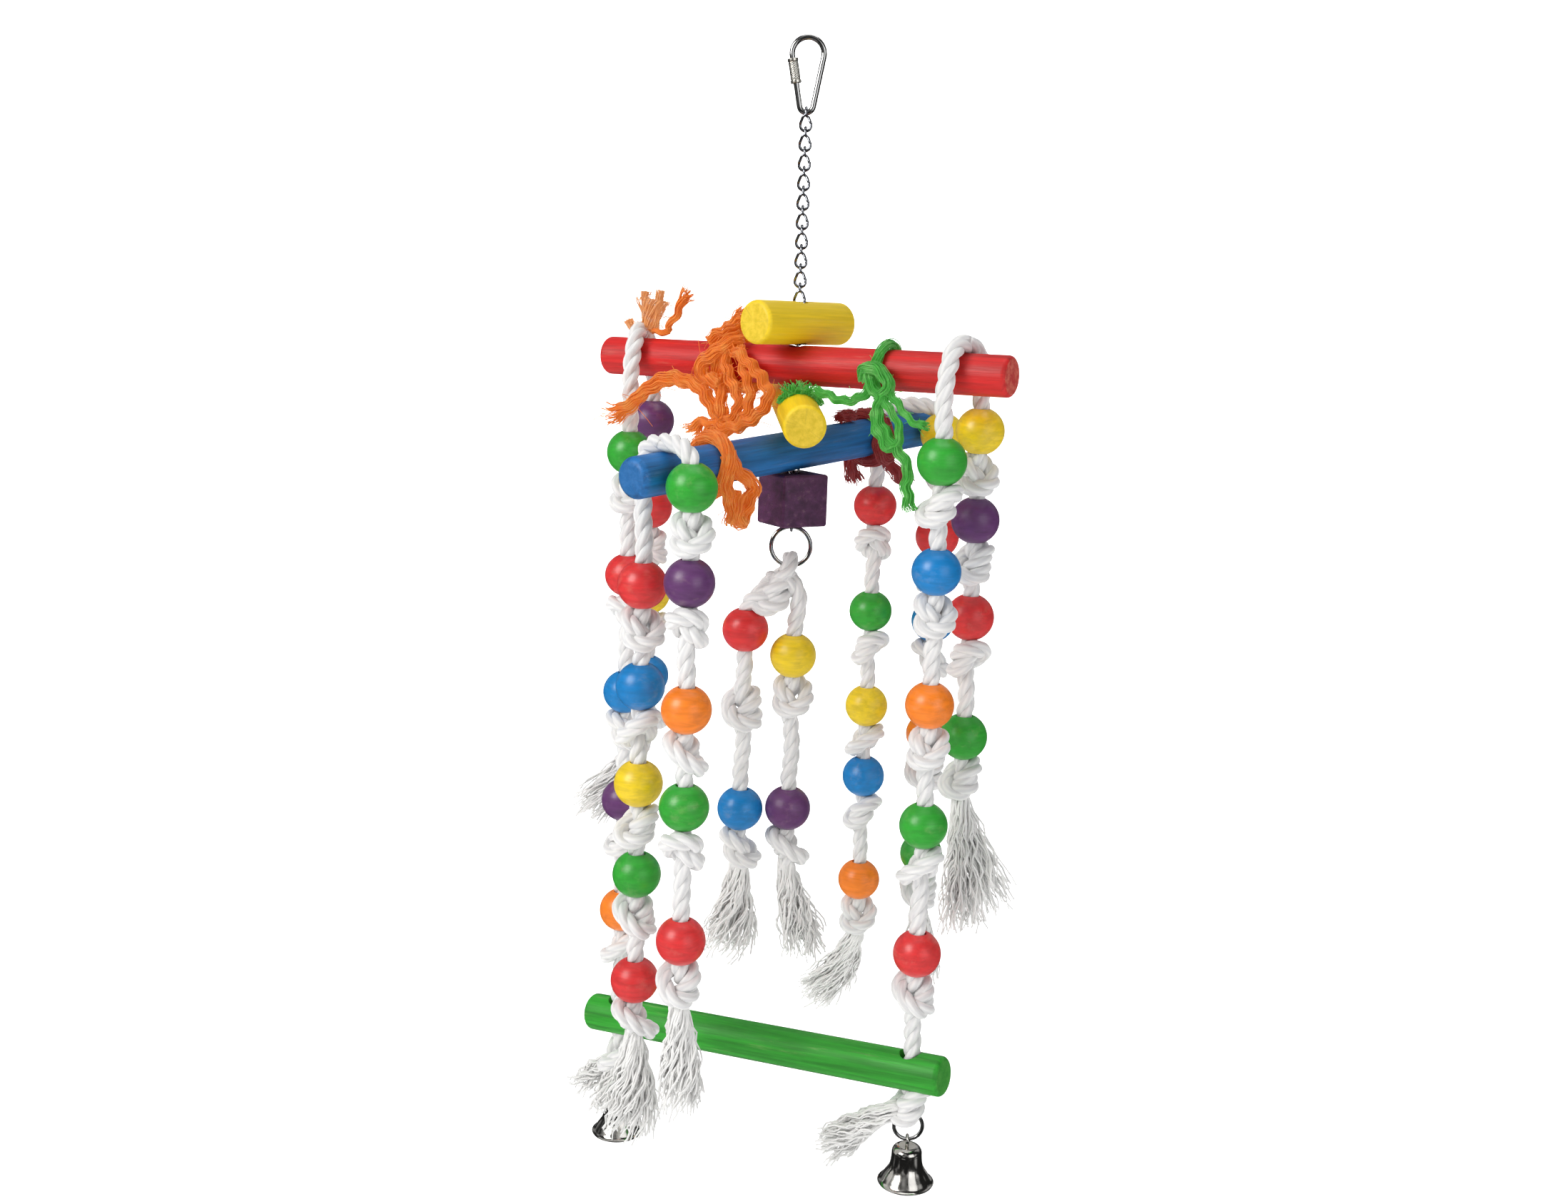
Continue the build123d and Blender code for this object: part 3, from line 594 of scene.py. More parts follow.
# ------------------------------------------------------------------ long ropes
class LaidRope:
    """One length of rope, laid as three strands along its whole path, then cut into pieces."""

    def __init__(self, path, knots, beads, phase=0.0):
        self.path = eased(resample(path, ROPE_STEP))
        self.waver(beads)
        squeeze = np.zeros(len(self.path))
        squeeze_from, squeeze_ease = 15.5 * MM, 3 * MM
        for centre in beads:
            away = np.linalg.norm(self.path - centre, axis=1)
            squeeze = np.maximum(squeeze, np.clip((squeeze_from - away) / squeeze_ease, 0, 1))
        self.rings = list(strand_rings(self.path, knots, phase, squeeze=squeeze))

    def waver(self, beads):
        """Hanging rope is never quite straight: small bends that die away at the beads."""
        free = np.ones(len(self.path))
        still, ease, bend = 14 * MM, 16 * MM, 0.55 * MM
        for centre in beads:
            away = np.linalg.norm(self.path - centre, axis=1)
            free = np.minimum(free, np.clip((away - still) / ease, 0, 1))
        along = np.arange(len(self.path)) * ROPE_STEP
        for axis in (0, 1):
            for wave in (47 * MM, 83 * MM):
                self.path[:, axis] += bend * free * np.sin(2 * np.pi * along / wave + random.uniform(0, 6.28))

    def nearest(self, point):
        return int(np.argmin(np.linalg.norm(self.path - np.asarray(point), axis=1)))

    def piece(self, name, first, last, stands_for=None, body=None):
        """The rope between two points of its path."""
        low, high = sorted((self.nearest(first), self.nearest(last)))
        mesh = Mesh()
        for verts, uvs in self.rings:
            mesh.rings(verts[low:high + 1], uvs[low:high + 1])
        return settle(mesh.piece(name, white_cotton), body, stands_for)


def hanging_line(x, y, knots):
    """Points down a vertical rope through its knots; each knot is (height, turn, mirrored, squash)."""
    line = []
    for height, turn, mirrored, squash in knots:
        line.extend(knot_at((x, y, height), turn, mirrored, squash))
    return line


def knots_for(beads, bottom=None, skip=()):
    """A knot right under each bead; a short gap to the next bead flattens it a little."""
    heights = [centre[2] for centre in beads]
    made = []
    for k, height in enumerate(heights):
        if k in skip:
            continue
        floor = heights[k + 1] + BEAD_TOP if k + 1 < len(heights) else bottom
        room = KNOT_ROOM if floor is None else min(KNOT_ROOM, (height - BEAD_TOP - floor) / 2)
        made.append((height - BEAD_FOOT - room, random.uniform(0, 2 * math.pi), random.random() < 0.5,
                     room / KNOT_REACH))
    return made


def over_points(dowel, along, out, middle_along, high):
    """One side of a rope over a dowel, from the crown down."""
    way = math.copysign(1, out)
    crown = dowel.beside(middle_along, 0, 17.9)
    if high:
        return [crown, dowel.beside((along + middle_along) / 2, way * 12, 18.2),
                dowel.beside(along, way * 22, 16.5), dowel.beside(along, out, high - 1)]
    shoulder = dowel.beside(along * 0.7 + middle_along * 0.3, way * 13.8, 13.6)
    return [crown, shoulder, dowel.beside(along, out * 0.98, 0), dowel.beside(along, out, -10)]


def frayed_piece(name, body, material, *ends):
    mesh = Mesh()
    for end in ends:
        frayed_end(mesh, **end)
    settle(mesh.piece(name, material), body)


class Side:
    """One side of a rope laid over a dowel."""

    def __init__(self, name, dowel, beads, pivot, body, parent, high=0.0, bottom=None):
        self.name, self.dowel, self.beads, self.body, self.parent = name, dowel, beads, body, parent
        self.x, self.y = beads[0][:2]
        self.along, self.out = dowel.locate(beads[0])
        axis_z = dowel.beside(self.along, 0)[2]
        self.pivot = axis_z - pivot * MM
        self.high = high
        self.knots = knots_for(beads, bottom)
        self.line = hanging_line(self.x, self.y, self.knots)

    def at(self, height):
        return np.array([self.x, self.y, height])


def lay_over(front, rear, stands_for, end_front, end_rear):
    """A rope over a dowel with two hanging sides; returns the laid rope."""
    middle_along = (front.along + rear.along) / 2
    front_over = over_points(front.dowel, front.along, front.out, middle_along, front.high)
    rear_over = over_points(rear.dowel, rear.along, rear.out, middle_along, rear.high)
    crown = smooth_line([*front_over[::-1], *rear_over[1:]])
    path = [front.at(end_front), *front.line[::-1], *crown, *rear.line, rear.at(end_rear)]
    knots = [side.at(height) for side in (front, rear) for height, *_ in side.knots]
    rope = LaidRope(path, knots, [*front.beads, *rear.beads])
    top = front_over[0]
    for side in (front, rear):
        piece = rope.piece(f"{side.name}_over", top, side.beads[0], stands_for)
        side.at(side.pivot + 3 * MM)
        side.at(side.pivot - 3 * MM)
        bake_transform(piece)
    return rope


TASSELS = {
    # tail: tufts of (length, spread, drift of the tip along x and y, yarns), in millimetres
    "rear_left": ((58, 14, (-18, -36), 150),),
    "rear_right": ((90, 12, (2, 0), 90), (66, 14, (30, -8), 80), (84, 12, (14, -4), 70)),
    "near_left": ((62, 19, (0, 0), 190),),
    "near_right": ((68, 15, (3, 0), 170),),
    "far_left": ((58, 15, (-26, -8), 170), (46, 9, (-8, 0), 40)),
    "far_right": ((52, 14, (5, 0), 150),),
    "centre_left": ((62, 19, (-5, 0), 180),),
    "centre_right": ((60, 15, (14, 5), 170),),
}


def tail_tassel(name, knot_foot, x, y, body):
    tufts = (dict(top=(x, y, knot_foot + 2 * MM), length=(length + 8) * MM, spread=spread * MM, yarns=yarns,
                  drift=(drift[0] * MM, drift[1] * MM, 0)) for length, spread, drift, yarns in TASSELS[name])
    frayed_piece(f"{name}_tassel", body, grey_cotton, *tufts)


def make_tail(side, rope):
    """The swinging part of a free tail: its rope, beads and tassel."""
    last = side.knots[-1][0]
    rope.piece(f"{side.name}_cord", side.beads[0], side.at(last - KNOT_HALF - 4 * MM), f"{side.name}_rope", side.body)
    thread_beads(f"{side.name}_beads", side.body)
    tail_tassel(side.name, last - KNOT_HALF, side.x, side.y, side.body)


def free_side(name, dowel_name, pivot, high=0.0):
    return Side(name, DOWELS[dowel_name], bead_places(f"{name}_beads"), pivot, name, dowel_name, high)


def make_ladder(name, rear_name):
    """One ladder rope and the free tail that shares its loop over the red dowel."""
    beads = bead_places(f"{name}_top_bead") + bead_places(f"{name}_beads")
    front = Side(name, RED_DOWEL, beads, LADDER_PIVOT, f"{name}_top", "red")
    rear = free_side(rear_name, "red", 8)
    hole = PERCH_HOLES[name]
    side = name.removeprefix("ladder_")
    rope = lay_over(front, rear, f"rope_over_red_{side}", hole[2] - FOOT_SPARE, rear.knots[-1][0] - ROPE_SPARE)
    first = rope.piece(f"{name}_upper_cord", beads[0], beads[1], f"{name}_top_rope")
    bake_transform(first)
    rope.piece(f"{name}_cord", beads[1], beads[-1], f"{name}_rope", name)
    last = rope.piece(f"{name}_foot_cord", beads[-1], hole)
    if name == "ladder_left":
        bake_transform(last)
    else:
        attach(last, name)
    thread_beads(f"{name}_top_bead", f"{name}_top")
    thread_beads(f"{name}_beads", name)
    make_tail(rear, rope)


perch_axis = long_axis("perch", (1, 0, 0))
PERCH_HOLES = {name: middle("perch") + perch_axis * sign * PERCH_HOLE_OUT
               for name, sign in (("ladder_left", -1), ("ladder_right", 1))}

make_ladder("ladder_left", "rear_left")
make_ladder("ladder_right", "rear_right")
for end, high in (("near", 10), ("far", 14)):
    sides = free_side(f"{end}_left", "blue", 8), free_side(f"{end}_right", "blue", -high, high)
    rope = lay_over(*sides, f"rope_over_blue_{end}", *(side.knots[-1][0] - ROPE_SPARE for side in sides))
    for side in sides:
        make_tail(side, rope)


# ------------------------------------------------------------------ rope ends under the perch
def end_through_perch(side, extra, *frays):
    """A ladder rope's end: through the hole, a knot, an eye that holds the bell's ring, and frayed yarns."""
    hole = PERCH_HOLES[f"ladder_{side}"]
    ring_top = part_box(f"bell_ring_{side}")[1].z
    knot = hole * (1, 1, 0) + UP * (hole[2] - (LONG_DOWEL_R + 9 + extra / 2) * MM)
    line = [hole, *knot_at(knot, 0.6, side == "left"), knot - UP * 17 * MM]
    rope = LaidRope(line, [knot], [])
    rope.piece(f"perch_end_{side}_cord", hole, knot - UP * (KNOT_HALF + 2 * MM), f"perch_knot_{side}", "perch")
    eye_r, eye_sink, eye_rope = 5.4 * MM, 1.6 * MM, 0.42
    centre = np.array([hole[0], hole[1], ring_top + eye_r - eye_sink])
    turn = np.linspace(0, 2 * math.pi, 40)
    circle = centre + (FACE[None] * np.cos(turn)[:, None] + UP[None] * np.sin(turn)[:, None]) * eye_r
    mesh = Mesh()
    add_rope(mesh, resample(circle, 0.8 * MM), scale=eye_rope)
    settle(mesh.piece(f"perch_end_{side}_eye", white_cotton), "perch")
    frayed_piece(f"perch_end_{side}_fray", "perch", grey_cotton, *(
        dict(top=knot + np.array(start) * MM, length=length * MM, spread=spread * MM, heading=heading, yarns=yarns,
             droop=droop * MM) for start, heading, length, spread, yarns, droop in frays))


end_through_perch("left", 11,
                  ((0, -3, -4), (0.25, -0.45, -0.85), 38, 17, 120, 0),
                  ((-3, -2, -4), (-0.75, -0.30, -0.60), 36, 9, 50, 4))
end_through_perch("right", 0,
                  ((-5, -4, -2), (-0.72, -0.42, -0.42), 56, 12, 150, 6))


# ------------------------------------------------------------------ the knotted rope under the block
def make_centre():
    ring = middle("block_ring")

    def place(face, drop, depth=0.0):
        return ring + (FACE * face + DEPTH * depth - UP * drop) * MM

    knot = place(-10, 29)
    loop = [place(-8, 24, -5), place(-4, 18.5, -7), place(-0.5, 13, -6.8), place(0, 7.3, 0), place(-0.5, 13, 6.8),
            place(-4, 18.5, 7), place(-8, 24, 5)]
    mesh = Mesh()
    add_rope(mesh, smooth_line(loop), scale=0.92)
    turn_c = knot_at(knot, 1.1) - knot
    add_rope(mesh, eased(resample(turn_c * 1.12 + knot, ROPE_STEP)), [knot], scale=1.06)
    settle(mesh.piece("centre_knot_cord", white_cotton), "centre_knot", "centre_knot")

    starts = {
        "centre_left": [place(-12, 31, -4), place(-19, 33, -5), place(-24.5, 36, -3.5)],
        "centre_right": [place(-8, 24, -4), place(-2, 20.5, -5), place(3.5, 24, -4.5), place(6, 34, -2.5),
                         place(5.2, 47)],
    }
    for name, start in starts.items():
        beads = bead_places(f"{name}_beads")
        x, y = beads[0][:2]
        knots = knots_for(beads, skip=(0,) if name == "centre_left" else ())
        if name == "centre_left":
            knots.insert(0, (beads[0][2] - 52 * MM, 2.2, False, 1.0))
        bead_top = np.array([x, y, beads[0][2] + 13 * MM])
        lead = smooth_line([*start, bead_top, np.array([x, y, beads[0][2]])])
        bottom = knots[-1][0] - KNOT_HALF
        path = [*lead, *hanging_line(x, y, knots), np.array([x, y, bottom - 8 * MM])]
        rope = LaidRope(path, [np.array([x, y, knot[0]]) for knot in knots], beads)
        lead_piece = rope.piece(f"{name}_lead", start[0], beads[0])
        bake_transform(lead_piece)
        rope.piece(f"{name}_cord", beads[0], (x, y, bottom - 4 * MM), f"{name}_rope", name)
        thread_beads(f"{name}_beads", name)
        tail_tassel(name, bottom, x, y, name)


make_centre()


# ------------------------------------------------------------------ ties of loose dyed fibre
def fibre_bundle(mesh, points, thick, fibres, fray=(0.0, 0.0), core=True, wave=0.0):
    """A loose cord of long fibres through some points (metres); thick is its radius from start to end.
    fray is how far the fibres spread at each end, as a multiple of the radius."""
    line = smooth_line(points, FIBRE_STEP)
    count = len(line)
    t = np.linspace(0, 1, count)
    radius = np.interp(t, np.linspace(0, 1, len(thick)), thick)
    _, normal, binormal = carried_frames(line)
    length = count * FIBRE_STEP
    wave_length, fray_length, lump_length = 11 * MM, 14 * MM, 5 * MM
    if wave:
        swing = np.sin(t * length / wave_length * 2 * np.pi + random.uniform(0, 6))
        line = line + normal * (swing * wave * MM)[:, None]
    opened = (1 + fray[0] * np.clip(1 - t * length / fray_length, 0, 1) ** 1.5
              + fray[1] * np.clip(1 - (1 - t) * length / fray_length, 0, 1) ** 1.5)
    if core:
        lumps = 1 + 0.10 * np.sin(t * length / lump_length + random.uniform(0, 6))
        first, last = np.nonzero(opened < 1.35)[0][[0, -1]]
        if last - first > 3:
            mesh.tube(line[first:last + 1], (radius * 0.66 * lumps)[first:last + 1], sides=12)
    for _ in range(fibres):
        angle = random.uniform(0, 2 * math.pi) + random.uniform(0.5, 1.6) * t * length / (22 * MM)
        reach = random.uniform(0.62, 1.08)
        drift = 0.30 * np.sin(t * length / (random.uniform(7, 13) * MM) + random.uniform(0, 6.28))
        out = radius * (reach + drift) * opened
        path = line + normal * (np.cos(angle) * out)[:, None] + binormal * (np.sin(angle) * out)[:, None]
        low = int(count * random.uniform(0, 0.06)) if fray[0] else 0
        high = count - (int(count * random.uniform(0, 0.08)) if fray[1] else 0)
        if high - low > 3:
            own = 0.26 * MM * random.uniform(0.7, 1.5)
            mesh.tube(path[low:high], np.full(high - low, own), sides=5, phase=random.uniform(0, 6))
    return line


def strays(mesh, line, count, reach):
    """Single fibres that stand off a bundle."""
    for _ in range(count):
        start = line[random.randrange(len(line))]
        way = np.array([random.gauss(0, 1), random.gauss(0, 1), random.gauss(0, 1) + 0.2])
        way /= np.linalg.norm(way)
        bend = np.array([random.gauss(0, 1), random.gauss(0, 1), random.gauss(0, 1) - 0.3])
        own = reach * random.uniform(0.4, 1.0)
        t = np.linspace(0, 1, 7)[:, None]
        mesh.tube(start + way * own * t + bend * own * 0.35 * t ** 2, 0.20 * MM, sides=4)


def wraps(dowel, along, width, turns, lift, lean=0.0):
    """Points of a cord wound round a dowel, in order along the winding."""
    points = []
    steps = int(turns * 14)
    for k in range(steps + 1):
        angle = 2 * math.pi * turns * k / steps - math.pi / 2
        reach = dowel.radius + lift
        points.append(dowel.beside(along + width * (k / steps - 0.5) + lean * math.sin(angle),
                                   reach * math.cos(angle), reach * math.sin(angle)))
    return points


def tie_piece(name, body, material, stands_for, cords, stray_count, stray_reach):
    """One tie: cords are (points, radii in millimetres, fray at the start and end, wave in millimetres)."""
    mesh = Mesh()
    for points, thick, fray, wave in cords:
        line = fibre_bundle(mesh, points, [0.88 * radius * MM for radius in thick], fray=fray, wave=wave,
                            fibres=int(16 * max(thick)) + 16)
        strays(mesh, line, stray_count // 2, stray_reach)
    settle(mesh.piece(name, material), body, stands_for)


orange_sisal = sisal("orange_sisal", (1.0, 0.29, 0.010), (0.84, 0.14, 0.004), (1.0, 0.50, 0.11))
green_sisal = sisal("green_sisal", (0.08, 0.56, 0.05), (0.015, 0.30, 0.02), (0.40, 0.85, 0.28))
red_cotton = sisal("dark_red_cotton", (0.36, 0.010, 0.014), (0.14, 0.003, 0.005), (0.50, 0.05, 0.05))
orange_white = sisal("orange_white_cotton", (0.94, 0.50, 0.20), (0.90, 0.30, 0.06), (0.95, 0.90, 0.82))


def beside_red(*places):
    return [RED_DOWEL.beside(*place) for place in places]


def beside_blue(*places):
    return [BLUE_DOWEL.beside(*place) for place in places]


def make_ties():
    tie_piece("orange_tie_red_dowel", "red", orange_sisal, "orange_tie", [
        (wraps(RED_DOWEL, -50, 6, 1.15, 4.2, 3), (4.2, 4.2), (0, 0), 0),
        (beside_red((-58, -14, 12), (-52, -10, 17), (-45, -9, 21), (-38, -9, 27), (-33, -9, 31)), (4.0, 4.4, 3.6),
         (0, 0.9), 1.0),
        (wraps(RED_DOWEL, -42, -8, 1.1, 4.6, -4), (3.8, 3.8), (0, 0), 0),
        (beside_red((-36, -9, 17), (-40, -18, 13), (-48, -21, 6), (-58, -21, -2), (-55, -21, -10), (-43, -22, -14)),
         (3.6, 4.4, 4.4, 4.0), (0.3, 0), 1.0),
        (beside_red((-46, -18, -8), (-41, -24, -26), (-40, -24, -35), (-48, -24, -27), (-54, -25, -18),
                    (-64, -26, -13), (-80, -28, -12), (-94, -31, -20), (-104, -34, -30), (-119, -36, -39)),
         (3.4, 3.8, 4.2, 4.4, 4.4, 4.4, 4.8), (0, 1.1), 0.7),
        (beside_red((-40, -17, 9), (-30, -21, 6), (-22, -22, 0), (-12, -23, -9), (-6, -24, -19), (-11, -25, -29),
                    (-18, -26, -35), (-31, -27, -41), (-43, -27, -43)), (3.2, 3.4, 3.6, 3.4, 3.2), (0, 0.5), 1.3),
        (beside_red((-44, -18, 6), (-37, -22, -8), (-29, -23, -20), (-30, -24, -31), (-40, -25, -38),
                    (-49, -26, -45)),
         (3.0, 3.2, 3.2, 3.0), (0, 0.7), 1.3),
        (beside_red((-33, -17, 10), (-26, -22, -5), (-20, -24, -18), (-22, -25, -32), (-33, -26, -40),
                    (-52, -27, -38), (-62, -28, -46)), (2.6, 3.0, 3.0, 3.0), (0, 1.0), 1.3),
        (beside_red((-45, -25, -40), (-50, -27, -47), (-44, -28, -52), (-36, -28, -56)), (3.2, 3.2, 3.0), (0.3, 0.6),
         0.8),
    ], stray_count=90, stray_reach=12 * MM)

    tie_piece("orange_ends_upright", "red", orange_white, "upright_ends", [
        (beside_red((-114, 1, 18), (-115, 4, 27), (-114, 5, 38)), (5.2, 5.8, 5.4), (0, 1.0), 0.4),
        (beside_red((-117, 2, 20), (-120, 3, 31), (-120, 4, 43)), (1.6, 1.8, 1.4), (0, 1.2), 0.3),
        (beside_red((-111, 2, 20), (-109, 3, 32), (-108, 4, 44)), (1.6, 1.8, 1.4), (0, 1.2), 0.3),
        (beside_red((-128, 2, 16), (-132, 2, 24)), (1.6, 1.4), (0, 1.0), 0.0),
    ], stray_count=56, stray_reach=9 * MM)
    tie_piece("orange_end_wavy", "red", orange_sisal, "upright_ends", [
        (beside_red((-112, 1, 17), (-105, 0, 17), (-99, 2, 17), (-101, 2, 21), (-94, 2, 27), (-92, 2, 33),
                    (-88, 2, 40), (-84, 2, 43)), (1.6, 2.0, 2.2, 2.6, 3.0), (0, 0.9), 0.8),
    ], stray_count=20, stray_reach=6 * MM)

    tie_piece("green_tie_red_dowel", "red", green_sisal, "green_tie", [
        (wraps(RED_DOWEL, 62, 5, 1.1, 3.4, 3), (3.2, 3.2), (0, 0), 0),
        (beside_red((55, -16, -6), (58, -19, 0), (66, -21, 1), (73, -21, -4), (75, -21, -11), (68, -21, -16)),
         (3.4, 4.0, 4.0, 3.4), (0, 0), 0.5),
        (beside_red((60, -18, 0), (63, -22, -8), (70, -22, -15), (70, -23, -26), (77, -24, -37), (85, -24, -46),
                    (92, -24, -56), (92, -24, -68), (96, -24, -82)), (3.0, 3.2, 3.0, 3.2, 3.2, 3.0), (0, 0.7), 0.9),
        (beside_red((70, -20, -13), (77, -24, -21), (84, -25, -29), (86, -25, -39), (80, -25, -46), (74, -25, -40),
                    (68, -24, -30), (70, -22, -18)), (2.3, 2.3, 2.1), (0, 0), 0.8),
        (beside_red((64, -20, -8), (57, -20, -16), (47, -20, -19), (40, -20, -18), (32, -19, -15.5), (23, -19, -14)),
         (2.8, 2.6, 2.4, 2.0), (0, 0.4), 0.8),
        (beside_red((76, -20, -13), (84, -22, -20), (91, -23, -27), (98, -24, -30.5), (104, -26, -30)),
         (2.2, 2.2, 2.0), (0, 0.5), 0.8),
    ], stray_count=40, stray_reach=8 * MM)

    tie_piece("orange_tie_blue_dowel", "blue", orange_sisal, "orange_tie_blue", [
        (wraps(BLUE_DOWEL, -80, 5, 1.15, 4.2, 3), (4.0, 4.0), (0, 0), 0),
        (beside_blue((-79, 14, 8), (-76, 18, -2), (-69, 20, -8), (-63, 20.5, -14), (-68, 21, -24),
          (-74, 21, -33), (-79, 21, -26), (-76, 20, -14)), (4.2, 4.4, 4.4, 3.8), (0, 0.3), 0.8),
        (beside_blue((-80, 15, 2), (-84, 18, -10), (-82, 20, -22), (-78, 19, -33)), (3.4, 3.6, 3.2), (0, 0.7), 0.9),
        (beside_blue((-83, -13, -8), (-86, -8, -18), (-92, -4, -26), (-94, -3, -38)), (3.6, 3.6, 3.8), (0, 1.2),
         0.8),
    ], stray_count=45, stray_reach=8 * MM)

    tie_piece("dark_red_tie_blue_dowel", "blue", red_cotton, "dark_red_tie", [
        (wraps(BLUE_DOWEL, 78, 8, 2.2, 3.6, 0), (3.6, 3.6), (0, 0), 0),
        (beside_blue((70, 14, 2), (66, 18, -6), (72, 19, -12), (80, 19, -8), (84, 17, 0)), (3.8, 4.0, 3.8), (0, 0),
         0.5),
        (beside_blue((80, -13, -6), (84, -18, -14), (86, -20, -24), (92, -20, -33)), (4.0, 4.2, 4.0), (0, 0.5), 0.8),
        (beside_blue((76, 14, -8), (80, 19, -18), (88, 21, -26), (96, 21, -28)), (4.2, 4.4, 4.0), (0, 0.5), 0.8),
        (beside_blue((44, 0, 16), (50, 0, 17), (58, 2, 17)), (2.6, 3.0, 2.6), (0.5, 0.5), 0.5),
    ], stray_count=20, stray_reach=5 * MM)

    cross_axis = long_axis("cross_dowel", (0, -1, 0))
    cross = middle("cross_dowel")
    side = np.cross(cross_axis, UP)

    def beside_cross(along, out, rise):
        return cross + (cross_axis * along + side * out + UP * rise) * MM

    mesh = Mesh()
    tuft_fibres, root_r, band_r = 150, 14.0, 14.9
    for _ in range(tuft_fibres):
        out = random.uniform(-11, 10)
        rise = math.sqrt(root_r ** 2 - out ** 2)
        along = random.uniform(17, 27)
        lean, tall = random.gauss(0, 4), random.uniform(1.5, 8)
        line = [beside_cross(along, out, rise), beside_cross(along + lean * 0.4, out * 1.1, rise + tall * 0.5),
                beside_cross(along + lean, out * 1.2 + random.gauss(0, 2), rise + tall)]
        mesh.tube(smooth_line(line, 1.5 * MM), random.uniform(0.18, 0.34) * MM, sides=5)
    for along, thick in ((20, 1.2), (23, 1.5)):
        band = [beside_cross(along + 0.8 * math.sin(5 * a), band_r * math.cos(a), band_r * math.sin(a))
                for a in np.linspace(0.5, math.pi - 0.45, 14)]
        fibre_bundle(mesh, band, [thick * MM, thick * 1.2 * MM, thick * MM], fibres=18, fray=(0.8, 0.8), core=False)
    settle(mesh.piece("green_tuft_fibres", green_sisal), "cross_dowel", "green_tuft")


make_ties()


# ------------------------------------------------------------------ CAD pieces that keep their shape
def turned_to_x(axis):
    return Vector(axis).rotation_difference(Vector((1, 0, 0))).to_euler("XYZ")


def dowel_wood(name, colour, node, toward, pale_end, wear, figure):
    """Dyed softwood dowel: long grain, darker streaks and knots, and cut ends with rays and checks."""
    axis = long_axis(node, toward)
    turn = turned_to_x(axis)
    shift = turn.to_matrix() @ Vector(middle(node))
    s = Shader(name)
    where = s.node("ShaderNodeTexCoord")
    local = s.node("ShaderNodeMapping", Vector=where.outputs["Object"], Rotation=tuple(turn),
                   Location=tuple(-shift)).outputs[0]

    def stretched(*scale):
        return s.stretched(local, scale)

    grain = s.noise(stretched(7, 150, 150), 1.6, detail=7, rough=0.62, distortion=0.5)
    streak = s.noise(stretched(3.2, 60, 60), 1.4, detail=3, distortion=0.8)
    fine = s.noise(stretched(26, 900, 900), 1.5, detail=4)
    pore = s.noise(stretched(60, 1500, 1500), 1.2, detail=2)
    base = s.mix(s.grey(grain, (0.36, 1 - figure), (0.60, 1.0)), shade(colour, 0.64), shade(colour, 1.12))
    base = s.mix(s.grey(streak, (0.50, 0.0), (0.70, 0.8 * figure)), base, shade(colour, 0.50))
    base = s.mix(s.grey(fine, (0.56, 0.0), (0.76, 0.5 * figure)), base, shade(colour, 0.36))
    pale = bleached(colour, 0.5, (0.80, 0.62, 0.42))
    rubbed = s.noise(stretched(14, 210, 210), 1.2, detail=6, rough=0.7)
    base = s.mix(s.grey(rubbed, (0.58, 0.0), (0.78, wear)), base, pale)
    face = s.node("ShaderNodeVectorMath", {"operation": "DOT_PRODUCT"})
    s.plug(where.outputs["Normal"], face.inputs[0])
    s.plug(tuple(axis), face.inputs[1])
    end = s.grey(s.maths("ABSOLUTE", face.outputs["Value"]), (0.86, 0.0), (0.96, 1.0))
    split = s.node("ShaderNodeSeparateXYZ", Vector=local)
    angle = s.maths("ARCTAN2", split.outputs["Z"], split.outputs["Y"])
    around = s.node("ShaderNodeCombineXYZ", X=s.maths("MULTIPLY", split.outputs["X"], 9.0),
                    Y=s.maths("COSINE", angle), Z=s.maths("SINE", angle)).outputs[0]
    rays = s.noise(around, 5.0, detail=5, rough=0.75)
    rings = s.noise(stretched(200, 260, 260), 1.0, detail=5, rough=0.7)
    cut = s.mix(s.grey(rings, (0.36, 0.0), (0.66, 1.0)), shade(colour, 0.78),
                bleached(colour, pale_end, (0.88, 0.70, 0.46)))
    cut = s.mix(s.grey(rays, (0.30, 0.75), (0.42, 0.0)), cut, shade(colour, 0.38))
    base = s.mix(end, base, cut)
    height = s.mix(0.5, s.grey(grain, (0.3, 0), (0.65, 1)), s.grey(fine, (0.3, 0), (0.7, 1)))
    height = s.mix(s.maths("MULTIPLY", end, 0.8), height, s.grey(rays, (0.30, 0), (0.45, 1)))
    s.set(Base_Color=base, Roughness=s.grey(pore, (0.3, 0.44), (0.7, 0.62)), Coat_Weight=0.08, Coat_Roughness=0.38,
          Normal=s.bump(height, 0.30, 0.00040))
    return s.material


def repaint(material, *names):
    for name in names:
        slots = nodes[name].data.materials
        slots.clear()
        slots.append(material)


YELLOW_WOOD = 0.86, 0.60, 0.006
for wood_name, node_name, colour, length_way, *finish in (
        # finish: share of bare wood on the cut ends, wear, strength of the grain
        ("top_dowel_wood", "top_dowel", YELLOW_WOOD, (1, 0, 0), 0.06, 0.22, 0.4),
        ("red_dowel_wood", "red_dowel", (0.62, 0.008, 0.008), (1, 0, 0), 0.20, 0.30, 0.75),
        ("cross_dowel_wood", "cross_dowel", YELLOW_WOOD, (0, 1, 0), 0.06, 0.22, 0.4),
        ("blue_dowel_wood", "blue_dowel", (0.003, 0.14, 0.42), (0, 1, 0), 0.02, 0.25, 1.0),
        ("block_wood", "purple_block", (0.092, 0.022, 0.088), (1, 0, 0), 0.10, 0.35, 1.0),
        ("perch_wood", "perch", (0.022, 0.36, 0.018), (1, 0, 0), 0.05, 0.45, 1.0)):
    repaint(dowel_wood(wood_name, colour, node_name, length_way, *finish), node_name)
repaint(plated("nickel_plate", (0.52, 0.52, 0.52), 0.12), "quick_link", "block_ring",
        "bell_ring_left", "bell_ring_right", "clapper_left", "clapper_right")
